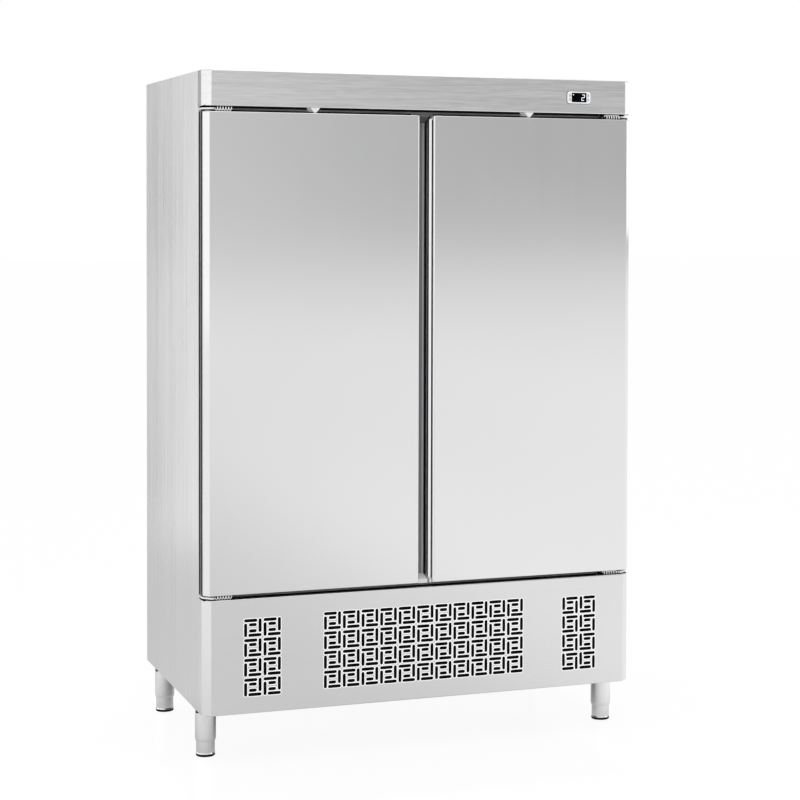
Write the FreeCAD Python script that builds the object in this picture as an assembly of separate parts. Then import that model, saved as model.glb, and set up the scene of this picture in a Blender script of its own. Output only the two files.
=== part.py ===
# Refrigerated cabinet with two hinged doors, a machine compartment below and four adjustable legs.
# Millimetres. Origin at the middle of the footprint on the floor, +Z up, the doors face -Y.
# Depths are measured back from the plane of the door faces.
import FreeCAD, Part
import os
from math import cos, pi, sin, sqrt, tan

os.makedirs("parts", exist_ok=True)
Vector = FreeCAD.Vector
ALONG_X = Vector(1, 0, 0)
ALONG_Y = Vector(0, 1, 0)
ALONG_Z = Vector(0, 0, 1)
CENTRE = Vector(0, 0, 0)
LEFT = -1
RIGHT = 1
SIDES = (LEFT, RIGHT)

# Envelope of the cabinet
cabinet_width = 1388.0
cabinet_depth = 826.0
cabinet_height = 2067.0
leg_height = 150.0
lower_panel_height = 345.0
fascia_height = 106.0
gap_over_doors = 16.0
gap_under_doors = 13.0
front_stack = 70.0
strip_thickness = 8.0

# Sheets, folds and clearances
outer_sheet = 1.0
inner_sheet = 0.8
cover_sheet = 1.2
bend_radius = 2.0
side_fold = 20.0
cover_fold = 15.0
seam = 0.3
running_gap = 0.05
overrun = 5.0

# Insulation
side_insulation = 60.0
back_insulation = 60.0
top_insulation = 70.0
floor_insulation = 65.0
header_depth = 60.0
door_cover_top = 45.0
strip_overlap = 45.0
strip_step = 2.0

# Mullion between the door openings
mullion_width = 92.0
mullion_wall = 1.5

# Chamfered corners of the front covers
fascia_corner = 27.0
lower_corner = 25.0
door_corner = 16.0

# Doors
door_inset = 3.0
door_skin = 1.0
door_skin_depth = 26.0
door_hem = 4.0
door_depth = 52.0
door_gap = 6.0
door_gap_offset = 11.5
liner_inset = 2.0
liner_wall = 2.5
plug_height = 8.0
plug_margin = 60.0
plug_handle_margin = 12.0
hinge_inset = 20.0
hinge_depth = 34.0

# Grip channel between the doors
grip_half_width = 21.0
lip_depth = 9.0
lip_radius = 4.0
grip_groove_depth = 4.0
grip_groove_reach = 4.0
grip_wall_step = 0.5
grip_floor_depth = 41.0
grip_foot_groove = 3.0
grip_profile_width = 19.0
grip_profile_wall = 2.5
cap_front_height = 12.0
cap_back_height = 24.0
cap_setback = 0.5

# Door gaskets
gasket_width = 22.0
gasket_compression_gap = 0.2
gasket_free_inset = 6.0
gasket_hinge_inset = 28.0
gasket_end_inset = 18.0

# Hinge brackets, pins and bushes
bracket_thickness = 5.0
bracket_side_inset = 1.0
bracket_front = 3.0
bracket_corner = 24.0
bracket_plate_width = 38.0
bracket_arm_width = 88.0
bracket_arm_depth = 26.0
bracket_leg_height = 43.0
bracket_leg_thickness = 4.0
bracket_leg_inset = 5.0
pin_radius = 6.0
pin_length = 30.0
bush_wall = 1.7
bush_length = 38.0

# Door switch tabs in the gap over the doors
tab_side_distance = 347.0
tab_top_width = 30.0
tab_tip_width = 8.0
tab_tip_gap = 2.0
tab_rise = 14.0
tab_front = 16.0

# Thermostat on the fascia
controller_x = 508.0
controller_z_below_top = 56.0
bezel_width = 80.0
bezel_height = 38.0
bezel_radius = 9.0
bezel_proud = 3.0
window_width = 50.0
window_height = 28.0
window_radius = 2.0
window_recess = 0.6
housing_width = 76.0
housing_height = 33.0
housing_depth = 60.0
housing_wall = 2.0
housing_pocket = 3.0
housing_fit = 0.3
key_width = 7.5
key_height = 9.5
key_radius = 2.0
key_x = 31.0
key_z = 6.5
key_proud = 0.6
key_gap = 0.3
key_flange = 0.8
key_flange_thickness = 1.2
key_flange_start = 0.2

# Slots of the lower grille panel
slot_width = 8.6
slot_long = 40.5
slot_short = 24.0
slot_cell = 54.0
slot_pitch = 59.5
slot_short_offset = 9.2
slot_rows = 4
side_grille_columns = 2
middle_grille_columns = 11
side_grille_inset = 180.0
grille_height = 167.0

# Machine compartment floor and rear cover
tray_sheet = 2.0
tray_flange = 25.0
rear_recess = 29.0
louvre_length = 260.0
louvre_width = 8.0
louvre_pitch = 24.0
louvre_rows = 9
louvre_column_pitch = 340.0
louvre_columns = 3
louvre_centre_height = 200.0
screw_hole_radius = 2.1
screw_shank_radius = 2.0
screw_shank_length = 6.0
screw_head_radius = 4.5
screw_head_height = 2.4
screw_edge = 14.0
screw_side_distance = 80.0

# Cable gland in the rear cover
gland_x = -560.0
gland_z = 120.0
gland_radius = 10.0
gland_nut_radius = 14.0
gland_nut_height = 5.0
gland_cap_radius = 12.0
gland_cap_length = 12.0
gland_bore = 4.5

# Electrical box
electrical_width = 170.0
electrical_depth = 130.0
electrical_height = 120.0
electrical_rear_gap = 2.0
electrical_lid = 2.0
electrical_lid_overlap = 3.0

# Compressor
compressor_x = 330.0
compressor_depth = 600.0
compressor_radius = 78.0
compressor_height = 165.0
compressor_rounding = 38.0
compressor_plate_length = 210.0
compressor_plate_width = 130.0
compressor_plate_thickness = 3.0
compressor_mount_radius = 12.0
compressor_mount_height = 14.0
compressor_mount_inset = 14.0

# Condenser and its fan
condenser_width = 480.0
condenser_height = 260.0
condenser_depth = 64.0
condenser_front = 118.0
condenser_floor_gap = 24.0
condenser_end_plate = 2.0
condenser_fins = 47
condenser_fin = 0.8
condenser_tube_radius = 5.0
condenser_tube_rows = 6
condenser_tube_columns = 2
shroud_plate = 1.5
shroud_ring_depth = 30.0
fan_ring_gap = 6.0
condenser_fan_radius = 100.0
condenser_motor_radius = 38.0
condenser_motor_length = 55.0
fan_hub_radius = 24.0
fan_hub_height = 22.0
fan_blade_thickness = 2.0
fan_blade_width = 40.0
fan_blade_turn = 28.0
fan_blades = 5
fan_shaft_radius = 3.0
fan_motor_gap = 4.0
motor_arm_width = 10.0
motor_arm_thickness = 3.0
motor_arms = 3

# Evaporator under the ceiling of the cell
evaporator_cover_width = 1060.0
evaporator_cover_height = 122.0
evaporator_cover_front = 470.0
evaporator_fan_radius = 74.0
evaporator_fan_depth = 560.0
evaporator_fan_x = 270.0
evaporator_fan_lift = 8.0
evaporator_motor_radius = 34.0
evaporator_coil_width = 940.0
evaporator_coil_depth = 96.0
evaporator_coil_margin = 8.0
evaporator_fins = 48

# Pipes of the refrigerant circuit
pipe_radius = 4.0
capillary_radius = 2.0
drier_radius = 12.0
drier_length = 100.0
pipe_rise = 60.0
pipe_out = 60.0
drier_front = 300.0
suction_height = 70.0

# Condensate pan in the machine compartment
pan_width = 300.0
pan_depth = 220.0
pan_height = 40.0
pan_wall = 2.0
pan_x = -150.0
pan_front = 400.0

# Shelf uprights, runners and wire shelves
upright_width = 24.0
upright_thickness = 12.0
upright_wall = 1.5
upright_end_gap = 14.0
upright_front = 160.0
upright_rear = 700.0
runner_height = 20.0
runner_width = 22.0
runner_sheet = 1.2
shelf_levels = 3
shelf_side_gap = 2.0
shelf_front = 150.0
shelf_rear_gap = 20.0
shelf_frame_radius = 4.0
shelf_wire_radius = 2.0
shelf_weld = 0.5
shelf_wires = 20
shelf_supports = 2

# Legs and adjustable feet
leg_side_inset = 38.5
leg_front_depth = 139.0
leg_rear_inset = 98.0
leg_radius = 31.5
leg_wall = 1.5
leg_plate = 72.0
leg_plate_thickness = 4.0
leg_plate_radius = 8.0
collar_height = 10.0
collar_low = 46.0
collar_taper = 2.0
foot_radius = 28.0
foot_gap = 0.3
foot_wall = 2.0
foot_floor = 4.0
foot_travel = 40.0
foot_engagement = 8.0
pad_height = 9.0
pad_overhang = 1.0
pad_chamfer = 1.5
stem_radius = 8.0
nut_thickness = 6.0
nut_lift = 4.0
stem_end_gap = 2.0

# Places worked out from the driving sizes
control_proud = bezel_proud + key_proud
front_y = -(cabinet_depth - control_proud) / 2
half_width = cabinet_width / 2
panel_top_z = leg_height + lower_panel_height
door_low_z = panel_top_z + gap_under_doors
fascia_low_z = cabinet_height - fascia_height
door_high_z = fascia_low_z - gap_over_doors
strip_front = front_stack - strip_thickness
cell_half_width = half_width - side_insulation
cell_floor_z = panel_top_z + floor_insulation
cell_ceiling_z = cabinet_height - top_insulation
cell_back = cabinet_depth - back_insulation
opening_top_z = door_high_z - door_cover_top
header_back = front_stack + header_depth
tray_top_z = leg_height + tray_sheet
rear_cover_depth = cabinet_depth - rear_recess
offset_gain = sqrt(2) - 1
bush_radius = pin_radius + running_gap + bush_wall


def at_depth(depth):
    """Y of a plane that lies this far behind the door faces."""
    return front_y + depth


def box(x_one, x_two, depth_low, depth_high, z_low, z_high):
    """Block between two X values, two depths and two heights."""
    corner = Vector(min(x_one, x_two), at_depth(depth_low), z_low)
    return Part.makeBox(abs(x_two - x_one), depth_high - depth_low, z_high - z_low, corner)


def outline(corners, place):
    """Closed wire through corners (a, b, radius), with an arc at each corner that has a radius."""
    points = [Vector(a, b, 0) for a, b, radius in corners]
    stretches = []
    for index, corner in enumerate(points):
        radius = corners[index][2]
        back = (points[index - 1] - corner).normalize()
        ahead = (points[(index + 1) % len(points)] - corner).normalize()
        half_angle = back.getAngle(ahead) / 2
        reach = radius / tan(half_angle)
        middle = corner + (back + ahead).normalize() * (radius / sin(half_angle) - radius)
        stretches.append((corner + back * reach, middle, corner + ahead * reach, radius))
    edges = []
    for index, (start, middle, end, radius) in enumerate(stretches):
        if radius > 0:
            edges.append(Part.Arc(place(start), place(middle), place(end)).toShape())
        following = stretches[(index + 1) % len(stretches)][0]
        edges.append(Part.LineSegment(place(end), place(following)).toShape())
    return Part.Wire(edges)


def upright_prism(corners, z_low, z_high):
    """Prism along Z over an outline of (x, depth, radius) corners."""
    wire = outline(corners, lambda point: Vector(point.x, at_depth(point.y), z_low))
    return Part.Face(wire).extrude(ALONG_Z * (z_high - z_low))


def front_prism(corners, depth_low, depth_high):
    """Prism along Y over an outline of (x, z, radius) corners."""
    wire = outline(corners, lambda point: Vector(point.x, at_depth(depth_low), point.y))
    return Part.Face(wire).extrude(ALONG_Y * (depth_high - depth_low))


def cross_prism(corners, x_low, x_high):
    """Prism along X over an outline of (depth, z, radius) corners."""
    wire = outline(corners, lambda point: Vector(x_low, at_depth(point.x), point.y))
    return Part.Face(wire).extrude(ALONG_X * (x_high - x_low))


def rod(x, depth, z, radius, length, axis):
    """Cylinder that starts at a point and runs along an axis."""
    return Part.makeCylinder(radius, length, Vector(x, at_depth(depth), z), axis)


def rounded_rectangle(x, z, width, height, radius):
    """Corners of a rectangle about a centre, all with one radius."""
    half_x = width / 2
    half_z = height / 2
    return [(x - half_x, z - half_z, radius), (x + half_x, z - half_z, radius),
            (x + half_x, z + half_z, radius), (x - half_x, z + half_z, radius)]


def fused(shapes):
    """One solid from shapes that touch or overlap."""
    return shapes[0].multiFuse(shapes[1:]).removeSplitter()


def group(shapes):
    """Several separate solids that share one node."""
    return Part.makeCompound(shapes)


def bent_pipe(points, radius):
    """Pipe through points (x, depth, z), with a round elbow at each inner point."""
    places = [Vector(x, at_depth(depth), z) for x, depth, z in points]
    pieces = []
    for start, end in zip(places, places[1:]):
        pieces.append(Part.makeCylinder(radius, (end - start).Length, start, end - start))
    for elbow in places[1:-1]:
        pieces.append(Part.makeSphere(radius, elbow))
    return fused(pieces)


def slot_wire(x, z, length, width, upright, depth):
    """Outline of one obround slot in an upright sheet."""
    half_x = (width if upright else length) / 2
    half_z = (length if upright else width) / 2
    radius = width / 2
    reach_x = half_x - radius
    reach_z = half_z - radius
    turn_x = radius if upright else 0
    turn_z = 0 if upright else radius

    def place(point_x, point_z):
        return Vector(x + point_x, at_depth(depth), z + point_z)
    one_start = place(-reach_x - turn_x, -reach_z + turn_z)
    one_end = place(reach_x - turn_x, reach_z + turn_z)
    two_start = place(reach_x + turn_x, reach_z - turn_z)
    two_end = place(-reach_x + turn_x, -reach_z - turn_z)
    far_cap = place(half_x if not upright else 0, half_z if upright else 0)
    near_cap = place(-half_x if not upright else 0, -half_z if upright else 0)
    edges = [Part.LineSegment(one_start, one_end).toShape(),
             Part.Arc(one_end, far_cap, two_start).toShape(),
             Part.LineSegment(two_start, two_end).toShape(),
             Part.Arc(two_end, near_cap, one_start).toShape()]
    return Part.Wire(edges)


def circle_wire(x, depth, z, radius):
    """Outline of a round hole in an upright sheet."""
    return Part.Wire(Part.Circle(Vector(x, at_depth(depth), z), ALONG_Y, radius).toShape())


def chamfered_tray(z_low, z_high, corner, top_fold, bottom_fold):
    """Folded front cover: front wall, chamfered corners, side walls, top and bottom folds."""
    def corners(inset):
        edge = half_width - inset
        start = corner + inset * offset_gain
        return [(-edge, front_stack, 0), (-edge, start, 0), (-half_width + start, inset, 0),
                (half_width - start, inset, 0), (edge, start, 0), (edge, front_stack, 0)]

    def hollow(depth_low, z_one, z_two):
        core = upright_prism([(x, depth + (overrun if depth == front_stack else 0), radius)
                              for x, depth, radius in corners(cover_sheet)], z_one, z_two)
        return core.common(box(-half_width, half_width, depth_low, front_stack + overrun, z_one, z_two))
    tray = upright_prism(corners(0), z_low, z_high)
    tray = tray.cut(hollow(0, z_low + cover_sheet, z_high - cover_sheet))
    if top_fold < front_stack:
        tray = tray.cut(hollow(top_fold, z_high - 2 * cover_sheet, z_high + overrun))
    return tray.cut(hollow(bottom_fold, z_low - overrun, z_low + 2 * cover_sheet))


def side_panel(side):
    """Outer side sheet with its folded front edge."""
    edge = side * half_width
    inner = side * (half_width - outer_sheet)
    fold = side * (half_width - side_fold)
    corners = [(edge, cabinet_depth, 0), (edge, front_stack, bend_radius), (fold, front_stack, 0),
               (fold, front_stack + outer_sheet, 0),
               (inner, front_stack + outer_sheet, 0), (inner, cabinet_depth, 0)]
    return upright_prism(corners, leg_height, cabinet_height)


def top_panel():
    """Outer top sheet between the side panels."""
    edge = half_width - outer_sheet
    return box(-edge, edge, front_stack + outer_sheet, cabinet_depth,
               cabinet_height - outer_sheet, cabinet_height)


def back_panel():
    """Outer back sheet, and the sheet under the insulated cell that meets it."""
    edge = half_width - outer_sheet
    back = box(-edge, edge, cabinet_depth - outer_sheet, cabinet_depth,
               panel_top_z, cabinet_height - outer_sheet)
    underside = box(-edge, edge, front_stack + outer_sheet, cabinet_depth - outer_sheet,
                    panel_top_z, panel_top_z + outer_sheet)
    return group([back, underside])


def cell_void(extra):
    """Space inside the insulated cell and its front opening, grown by a sheet."""
    half = cell_half_width + extra
    cell = box(-half, half, header_back - extra, cell_back + extra,
               cell_floor_z - extra, cell_ceiling_z + extra)
    mouth = box(-half, half, front_stack, header_back, cell_floor_z - extra, opening_top_z + extra)
    return cell.fuse(mouth)


def insulation_shell():
    """Foam between the outer sheets and the inner liner."""
    edge = half_width - outer_sheet
    block = box(-edge, edge, front_stack + outer_sheet, cabinet_depth - outer_sheet,
                panel_top_z + outer_sheet, cabinet_height - outer_sheet)
    return block.cut(cell_void(inner_sheet))


def inner_liner():
    """Welded tank that lines the cell: side walls, back, ceiling, floor and header sheets."""
    front = front_stack + outer_sheet
    back = cell_back + inner_sheet
    low = cell_floor_z - inner_sheet
    high = cell_ceiling_z + inner_sheet
    header_front = header_back - inner_sheet
    header_low = opening_top_z + inner_sheet
    wall = [(front, low, 0), (back, low, 0), (back, high, 0), (header_front, high, 0),
            (header_front, header_low, 0), (front, header_low, 0)]
    walls = [cross_prism(wall, cell_half_width, cell_half_width + inner_sheet),
             cross_prism(wall, -cell_half_width - inner_sheet, -cell_half_width)]
    half = cell_half_width
    sheets = [box(-half, half, cell_back, back, cell_floor_z, cell_ceiling_z),
              box(-half, half, header_front, back, cell_ceiling_z, high),
              box(-half, half, front, back, low, cell_floor_z),
              box(-half, half, header_front, header_back, header_low, cell_ceiling_z),
              box(-half, half, front, header_back, opening_top_z, header_low)]
    return group(walls + sheets)


def breaker_frame():
    """Four strips round the door openings, stepped in where they pass behind the front covers."""
    inner = half_width - strip_step
    fascia_seam = fascia_low_z - seam
    panel_seam = panel_top_z + seam
    top = [(-half_width, opening_top_z, 0), (half_width, opening_top_z, 0), (half_width, fascia_seam, 0),
           (inner, fascia_seam, 0), (inner, fascia_low_z + strip_overlap, 0),
           (-inner, fascia_low_z + strip_overlap, 0), (-inner, fascia_seam, 0), (-half_width, fascia_seam, 0)]
    bottom = [(-half_width, cell_floor_z, 0), (half_width, cell_floor_z, 0), (half_width, panel_seam, 0),
              (inner, panel_seam, 0), (inner, panel_top_z - strip_overlap, 0),
              (-inner, panel_top_z - strip_overlap, 0), (-inner, panel_seam, 0), (-half_width, panel_seam, 0)]
    stiles = [box(side * cell_half_width, side * half_width, strip_front, front_stack,
                  cell_floor_z, opening_top_z) for side in SIDES]
    return group([front_prism(top, strip_front, front_stack),
                  front_prism(bottom, strip_front, front_stack)] + stiles)


def centre_mullion():
    """Hollow post that the middle gaskets close against."""
    half = mullion_width / 2
    inner = half - mullion_wall
    post = box(-half, half, strip_front, header_back, cell_floor_z, opening_top_z)
    return post.cut(box(-inner, inner, strip_front + mullion_wall, header_back - mullion_wall,
                        cell_floor_z + mullion_wall, opening_top_z - mullion_wall))


def fascia_panel():
    """Header cover over the doors, with the cut-out for the thermostat."""
    tray = chamfered_tray(fascia_low_z, cabinet_height, fascia_corner, front_stack, cover_fold)
    x, z = controller_places()
    half_x = housing_width / 2 + housing_fit
    half_z = housing_height / 2 + housing_fit
    return tray.cut(box(x - half_x, x + half_x, -overrun, cover_sheet + overrun, z - half_z, z + half_z))


def grille_slots(depth):
    """Wires of all the slots: each cell holds four long slots in a turning ring and two short ones."""
    reach = (slot_cell - slot_width) / 2
    shift = (slot_cell - slot_long) / 2
    pattern = [(-shift, reach, slot_long, False), (reach, shift, slot_long, True),
               (-reach, -shift, slot_long, True), (shift, -reach, slot_long, False),
               (0, slot_short_offset, slot_short, False), (0, -slot_short_offset, slot_short, False)]
    side_centre = half_width - side_grille_inset
    fields = [(-side_centre, side_grille_columns, 1), (0, middle_grille_columns, 1),
              (side_centre, side_grille_columns, -1)]
    wires = []
    for field_x, columns, hand in fields:
        for column in range(columns):
            x = field_x + (column - (columns - 1) / 2) * slot_pitch
            for row in range(slot_rows):
                z = leg_height + grille_height + (row - (slot_rows - 1) / 2) * slot_pitch
                for shift_x, shift_z, length, upright in pattern:
                    slot_x = x + hand * shift_x
                    wires.append(slot_wire(slot_x, z + shift_z, length, slot_width, upright, depth))
    return wires


def lower_grille_panel():
    """Front cover of the machine compartment, cut with the air slots."""
    tray = chamfered_tray(leg_height, panel_top_z, lower_corner, cover_fold, cover_fold)
    edge = half_width - lower_corner - cover_sheet
    low = leg_height + cover_sheet
    high = panel_top_z - cover_sheet
    plate = outline([(-edge, low, 0), (edge, low, 0), (edge, high, 0), (-edge, high, 0)],
                    lambda point: Vector(point.x, at_depth(0), point.y))
    slotted = Part.Face([plate] + grille_slots(0)).extrude(ALONG_Y * cover_sheet)
    tray = tray.cut(box(-edge, edge, -overrun, cover_sheet, low, high))
    return fused([tray, slotted])


def base_tray():
    """Floor of the machine compartment, with its front and rear flanges."""
    edge = half_width - outer_sheet
    front = front_stack + outer_sheet
    floor = box(-edge, edge, front, cabinet_depth - outer_sheet, leg_height, tray_top_z)
    flange_top = tray_top_z + tray_flange
    front_flange = box(-edge, edge, front, front + tray_sheet, leg_height, flange_top)
    rear_flange = box(-edge, edge, rear_cover_depth - outer_sheet - tray_sheet,
                      rear_cover_depth - outer_sheet, leg_height, flange_top)
    return fused([floor, front_flange, rear_flange]).cut(screw_holes(rear_cover_depth))


def screw_places():
    """X and Z of the screws of the rear cover."""
    low = tray_top_z + screw_edge
    high = panel_top_z - screw_edge
    half = half_width - screw_side_distance
    return [(x, z) for z in (low, high) for x in (-half, 0, half)]


def screw_holes(depth):
    """Cylinders that clear the shanks of the rear cover's screws."""
    return group([rod(x, depth - screw_shank_length - overrun, z, screw_hole_radius,
                      screw_shank_length + 2 * overrun, ALONG_Y) for x, z in screw_places()])


def rear_grille():
    """Vented rear cover of the machine compartment."""
    edge = half_width - outer_sheet
    front = rear_cover_depth - outer_sheet
    plate = outline([(-edge, tray_top_z, 0), (edge, tray_top_z, 0), (edge, panel_top_z, 0),
                     (-edge, panel_top_z, 0)], lambda point: Vector(point.x, at_depth(front), point.y))
    wires = [plate, circle_wire(gland_x, front, leg_height + gland_z, gland_radius + running_gap)]
    for x, z in screw_places():
        wires.append(circle_wire(x, front, z, screw_hole_radius))
    for column in range(louvre_columns):
        x = (column - (louvre_columns - 1) / 2) * louvre_column_pitch
        for row in range(louvre_rows):
            z = leg_height + louvre_centre_height + (row - (louvre_rows - 1) / 2) * louvre_pitch
            wires.append(slot_wire(x, z, louvre_length, louvre_width, False, front))
    return Part.Face(wires).extrude(ALONG_Y * outer_sheet)


def panel_screws():
    """Screws of the rear cover."""
    screws = []
    start = rear_cover_depth - screw_shank_length
    for x, z in screw_places():
        shank = rod(x, start, z, screw_shank_radius, screw_shank_length, ALONG_Y)
        head = rod(x, rear_cover_depth, z, screw_head_radius, screw_head_height, ALONG_Y)
        head = head.makeFillet(screw_head_height / 2, [head.Edges[0]])
        screws.append(shank.fuse(head))
    return group(screws)


def cable_gland():
    """Screwed gland in the rear cover: body, outer nut, inner nut and cap, with its bore."""
    z = leg_height + gland_z
    inner_end = rear_cover_depth - outer_sheet - gland_nut_height
    pieces = [rod(gland_x, inner_end, z, gland_radius, outer_sheet + gland_nut_height, ALONG_Y)]
    for start in (inner_end, rear_cover_depth):
        points = [Vector(gland_x + gland_nut_radius * cos(pi * turn / 3), at_depth(start),
                         z + gland_nut_radius * sin(pi * turn / 3)) for turn in range(7)]
        pieces.append(Part.Face(Part.makePolygon(points)).extrude(ALONG_Y * gland_nut_height))
    cap_start = rear_cover_depth + gland_nut_height
    cap = rod(gland_x, cap_start, z, gland_cap_radius, gland_cap_length, ALONG_Y)
    pieces.append(cap)
    bore_length = gland_cap_length + outer_sheet + 2 * (gland_nut_height + overrun)
    return fused(pieces).cut(rod(gland_x, inner_end - overrun, z, gland_bore, bore_length, ALONG_Y))


def electrical_box():
    """Closed box for the mains terminals, on the tray behind the gland."""
    back = rear_cover_depth - outer_sheet - tray_sheet - electrical_rear_gap - gland_nut_height
    front = back - electrical_depth
    low_x = gland_x - electrical_width / 2
    high_x = gland_x + electrical_width / 2
    top = tray_top_z + electrical_height
    body = box(low_x, high_x, front, back, tray_top_z, top)
    core = box(low_x + electrical_lid, high_x - electrical_lid, front + electrical_lid, back - electrical_lid,
               tray_top_z + electrical_lid, top)
    lid = box(low_x - electrical_lid_overlap, high_x + electrical_lid_overlap, front - electrical_lid_overlap,
              back + electrical_rear_gap, top, top + electrical_lid)
    return fused([body.cut(core), lid])


def compressor():
    """Hermetic compressor on its base plate, with four rubber mounts."""
    plate_low = tray_top_z + compressor_mount_height
    body_low = plate_low + compressor_plate_thickness
    body = rod(compressor_x, compressor_depth, body_low, compressor_radius, compressor_height, ALONG_Z)
    rims = [edge for edge in body.Edges if edge.Closed and len(edge.Vertexes) == 1]
    body = body.makeFillet(compressor_rounding, rims)
    half_x = compressor_plate_length / 2
    half_y = compressor_plate_width / 2
    plate = box(compressor_x - half_x, compressor_x + half_x, compressor_depth - half_y,
                compressor_depth + half_y, plate_low, body_low)
    mounts = []
    for side_x in SIDES:
        for side_y in SIDES:
            x = compressor_x + side_x * (half_x - compressor_mount_inset)
            depth = compressor_depth + side_y * (half_y - compressor_mount_inset)
            mount = rod(x, depth, tray_top_z, compressor_mount_radius, compressor_mount_height, ALONG_Z)
            mounts.append(mount)
    return group([fused([body, plate])] + mounts)


def finned_coil(x_low, x_high, depth_low, depth_high, z_low, z_high, fins, rows, columns, plate_low):
    """Stack of fins between two end plates, threaded by straight tubes."""
    width = x_high - x_low
    end_plates = [box(x_low, x_low + condenser_end_plate, depth_low, depth_high, plate_low, z_high),
                  box(x_high - condenser_end_plate, x_high, depth_low, depth_high, plate_low, z_high)]
    stack = []
    for index in range(fins):
        x = x_low + (index + 1) * width / (fins + 1) - condenser_fin / 2
        stack.append(box(x, x + condenser_fin, depth_low, depth_high, z_low, z_high))
    tubes = []
    for row in range(rows):
        for column in range(columns):
            depth = depth_low + (column + 1) * (depth_high - depth_low) / (columns + 1)
            z = z_low + (row + 1) * (z_high - z_low) / (rows + 1)
            tubes.append(rod(x_low, depth, z, condenser_tube_radius, width, ALONG_X))
    return fused(end_plates + stack + tubes)


def condenser_low_z():
    """Height of the lowest fins of the condenser."""
    return tray_top_z + condenser_floor_gap


def condenser_coil():
    """Condenser behind the lower grille, standing on its end plates."""
    half = condenser_width / 2
    low = condenser_low_z()
    return finned_coil(-half, half, condenser_front, condenser_front + condenser_depth, low,
                       low + condenser_height, condenser_fins, condenser_tube_rows,
                       condenser_tube_columns, tray_top_z)


def fan_centre_z():
    """Height of the condenser fan's axis."""
    return condenser_low_z() + condenser_height / 2


def condenser_fan_shroud():
    """Plate and ring that guide the air through the condenser fan."""
    start = condenser_front + condenser_depth
    hole = condenser_fan_radius + fan_ring_gap
    half = condenser_width / 2
    z = fan_centre_z()
    plate = box(-half, half, start, start + shroud_plate, tray_top_z, condenser_low_z() + condenser_height)
    ring = rod(0, start, z, hole + shroud_plate, shroud_ring_depth, ALONG_Y)
    mouth = rod(0, start - overrun, z, hole, shroud_ring_depth + 2 * overrun, ALONG_Y)
    return fused([plate, ring]).cut(mouth)


def fan_rotor(radius):
    """Fan with its hub on the origin, along +Z, with pitched blades and a bore for the shaft."""
    hub = Part.makeCylinder(fan_hub_radius, fan_hub_height, CENTRE, ALONG_Z)
    pieces = [hub]
    for blade in range(fan_blades):
        plate = Part.makeBox(radius, fan_blade_width, fan_blade_thickness,
                             Vector(0, -fan_blade_width / 2, -fan_blade_thickness / 2))
        plate.rotate(CENTRE, ALONG_X, fan_blade_turn)
        plate.translate(ALONG_Z * (fan_hub_height / 2))
        plate.rotate(CENTRE, ALONG_Z, 360 * blade / fan_blades)
        pieces.append(plate)
    rotor = fused(pieces).common(Part.makeCylinder(radius, fan_hub_height, CENTRE, ALONG_Z))
    return rotor.cut(Part.makeCylinder(fan_shaft_radius + running_gap, fan_hub_height, CENTRE, ALONG_Z))


def fan_motor(radius, length, arm_reach):
    """Motor above a rotor that stands on the origin along +Z: body, shaft and mounting arms."""
    start = fan_hub_height + fan_motor_gap
    body = Part.makeCylinder(radius, length, ALONG_Z * start, ALONG_Z)
    shaft = Part.makeCylinder(fan_shaft_radius, start, CENTRE, ALONG_Z)
    pieces = [body, shaft]
    for arm in range(motor_arms):
        strut = Part.makeBox(arm_reach, motor_arm_width, motor_arm_thickness,
                             Vector(0, -motor_arm_width / 2, start))
        strut.rotate(CENTRE, ALONG_Z, 90 + 360 * arm / motor_arms)
        pieces.append(strut)
    return fused(pieces)


def face_back(shape):
    """Turn a shape that points along +Z so that it points backwards."""
    turned = shape.copy()
    turned.rotate(CENTRE, ALONG_X, -90)
    return turned


def condenser_fan_place():
    """Middle of the condenser fan's front face."""
    return Vector(0, at_depth(condenser_front + condenser_depth + fan_ring_gap), fan_centre_z())


def evaporator_fan_place(side):
    """Middle of the lower face of one evaporator fan."""
    low = cell_ceiling_z - evaporator_cover_height + evaporator_fan_lift
    return Vector(side * evaporator_fan_x, at_depth(evaporator_fan_depth), low)


def condenser_fan():
    """Rotor of the condenser fan."""
    rotor = face_back(fan_rotor(condenser_fan_radius))
    rotor.translate(condenser_fan_place())
    return rotor


def evaporator_fan(side):
    """Rotor of one evaporator fan."""
    rotor = fan_rotor(evaporator_fan_radius)
    rotor.translate(evaporator_fan_place(side))
    return rotor


def fan_motors():
    """Motors of the condenser fan and of the two evaporator fans."""
    arm_reach = condenser_fan_radius + fan_ring_gap + shroud_plate
    arm_depth = fan_hub_height + fan_motor_gap
    motor = face_back(fan_motor(condenser_motor_radius, condenser_motor_length, arm_reach))
    motor.translate(condenser_fan_place())
    posts = []
    for arm in range(motor_arms):
        angle = pi / 2 + 2 * pi * arm / motor_arms
        reach = arm_reach - shroud_plate / 2
        foot = Vector(reach * cos(angle), 0, -reach * sin(angle)) + condenser_fan_place()
        ring_back = shroud_ring_depth - fan_ring_gap
        posts.append(Part.makeCylinder(shroud_plate / 2, arm_depth + motor_arm_thickness - ring_back,
                                       foot + ALONG_Y * ring_back, ALONG_Y))
    motors = [fused([motor] + posts)]
    for side in SIDES:
        place = evaporator_fan_place(side)
        length = cell_ceiling_z - place.z - fan_hub_height - fan_motor_gap
        motor = fan_motor(evaporator_motor_radius, length, evaporator_motor_radius)
        motor.translate(place)
        motors.append(motor)
    return group(motors)


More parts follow.
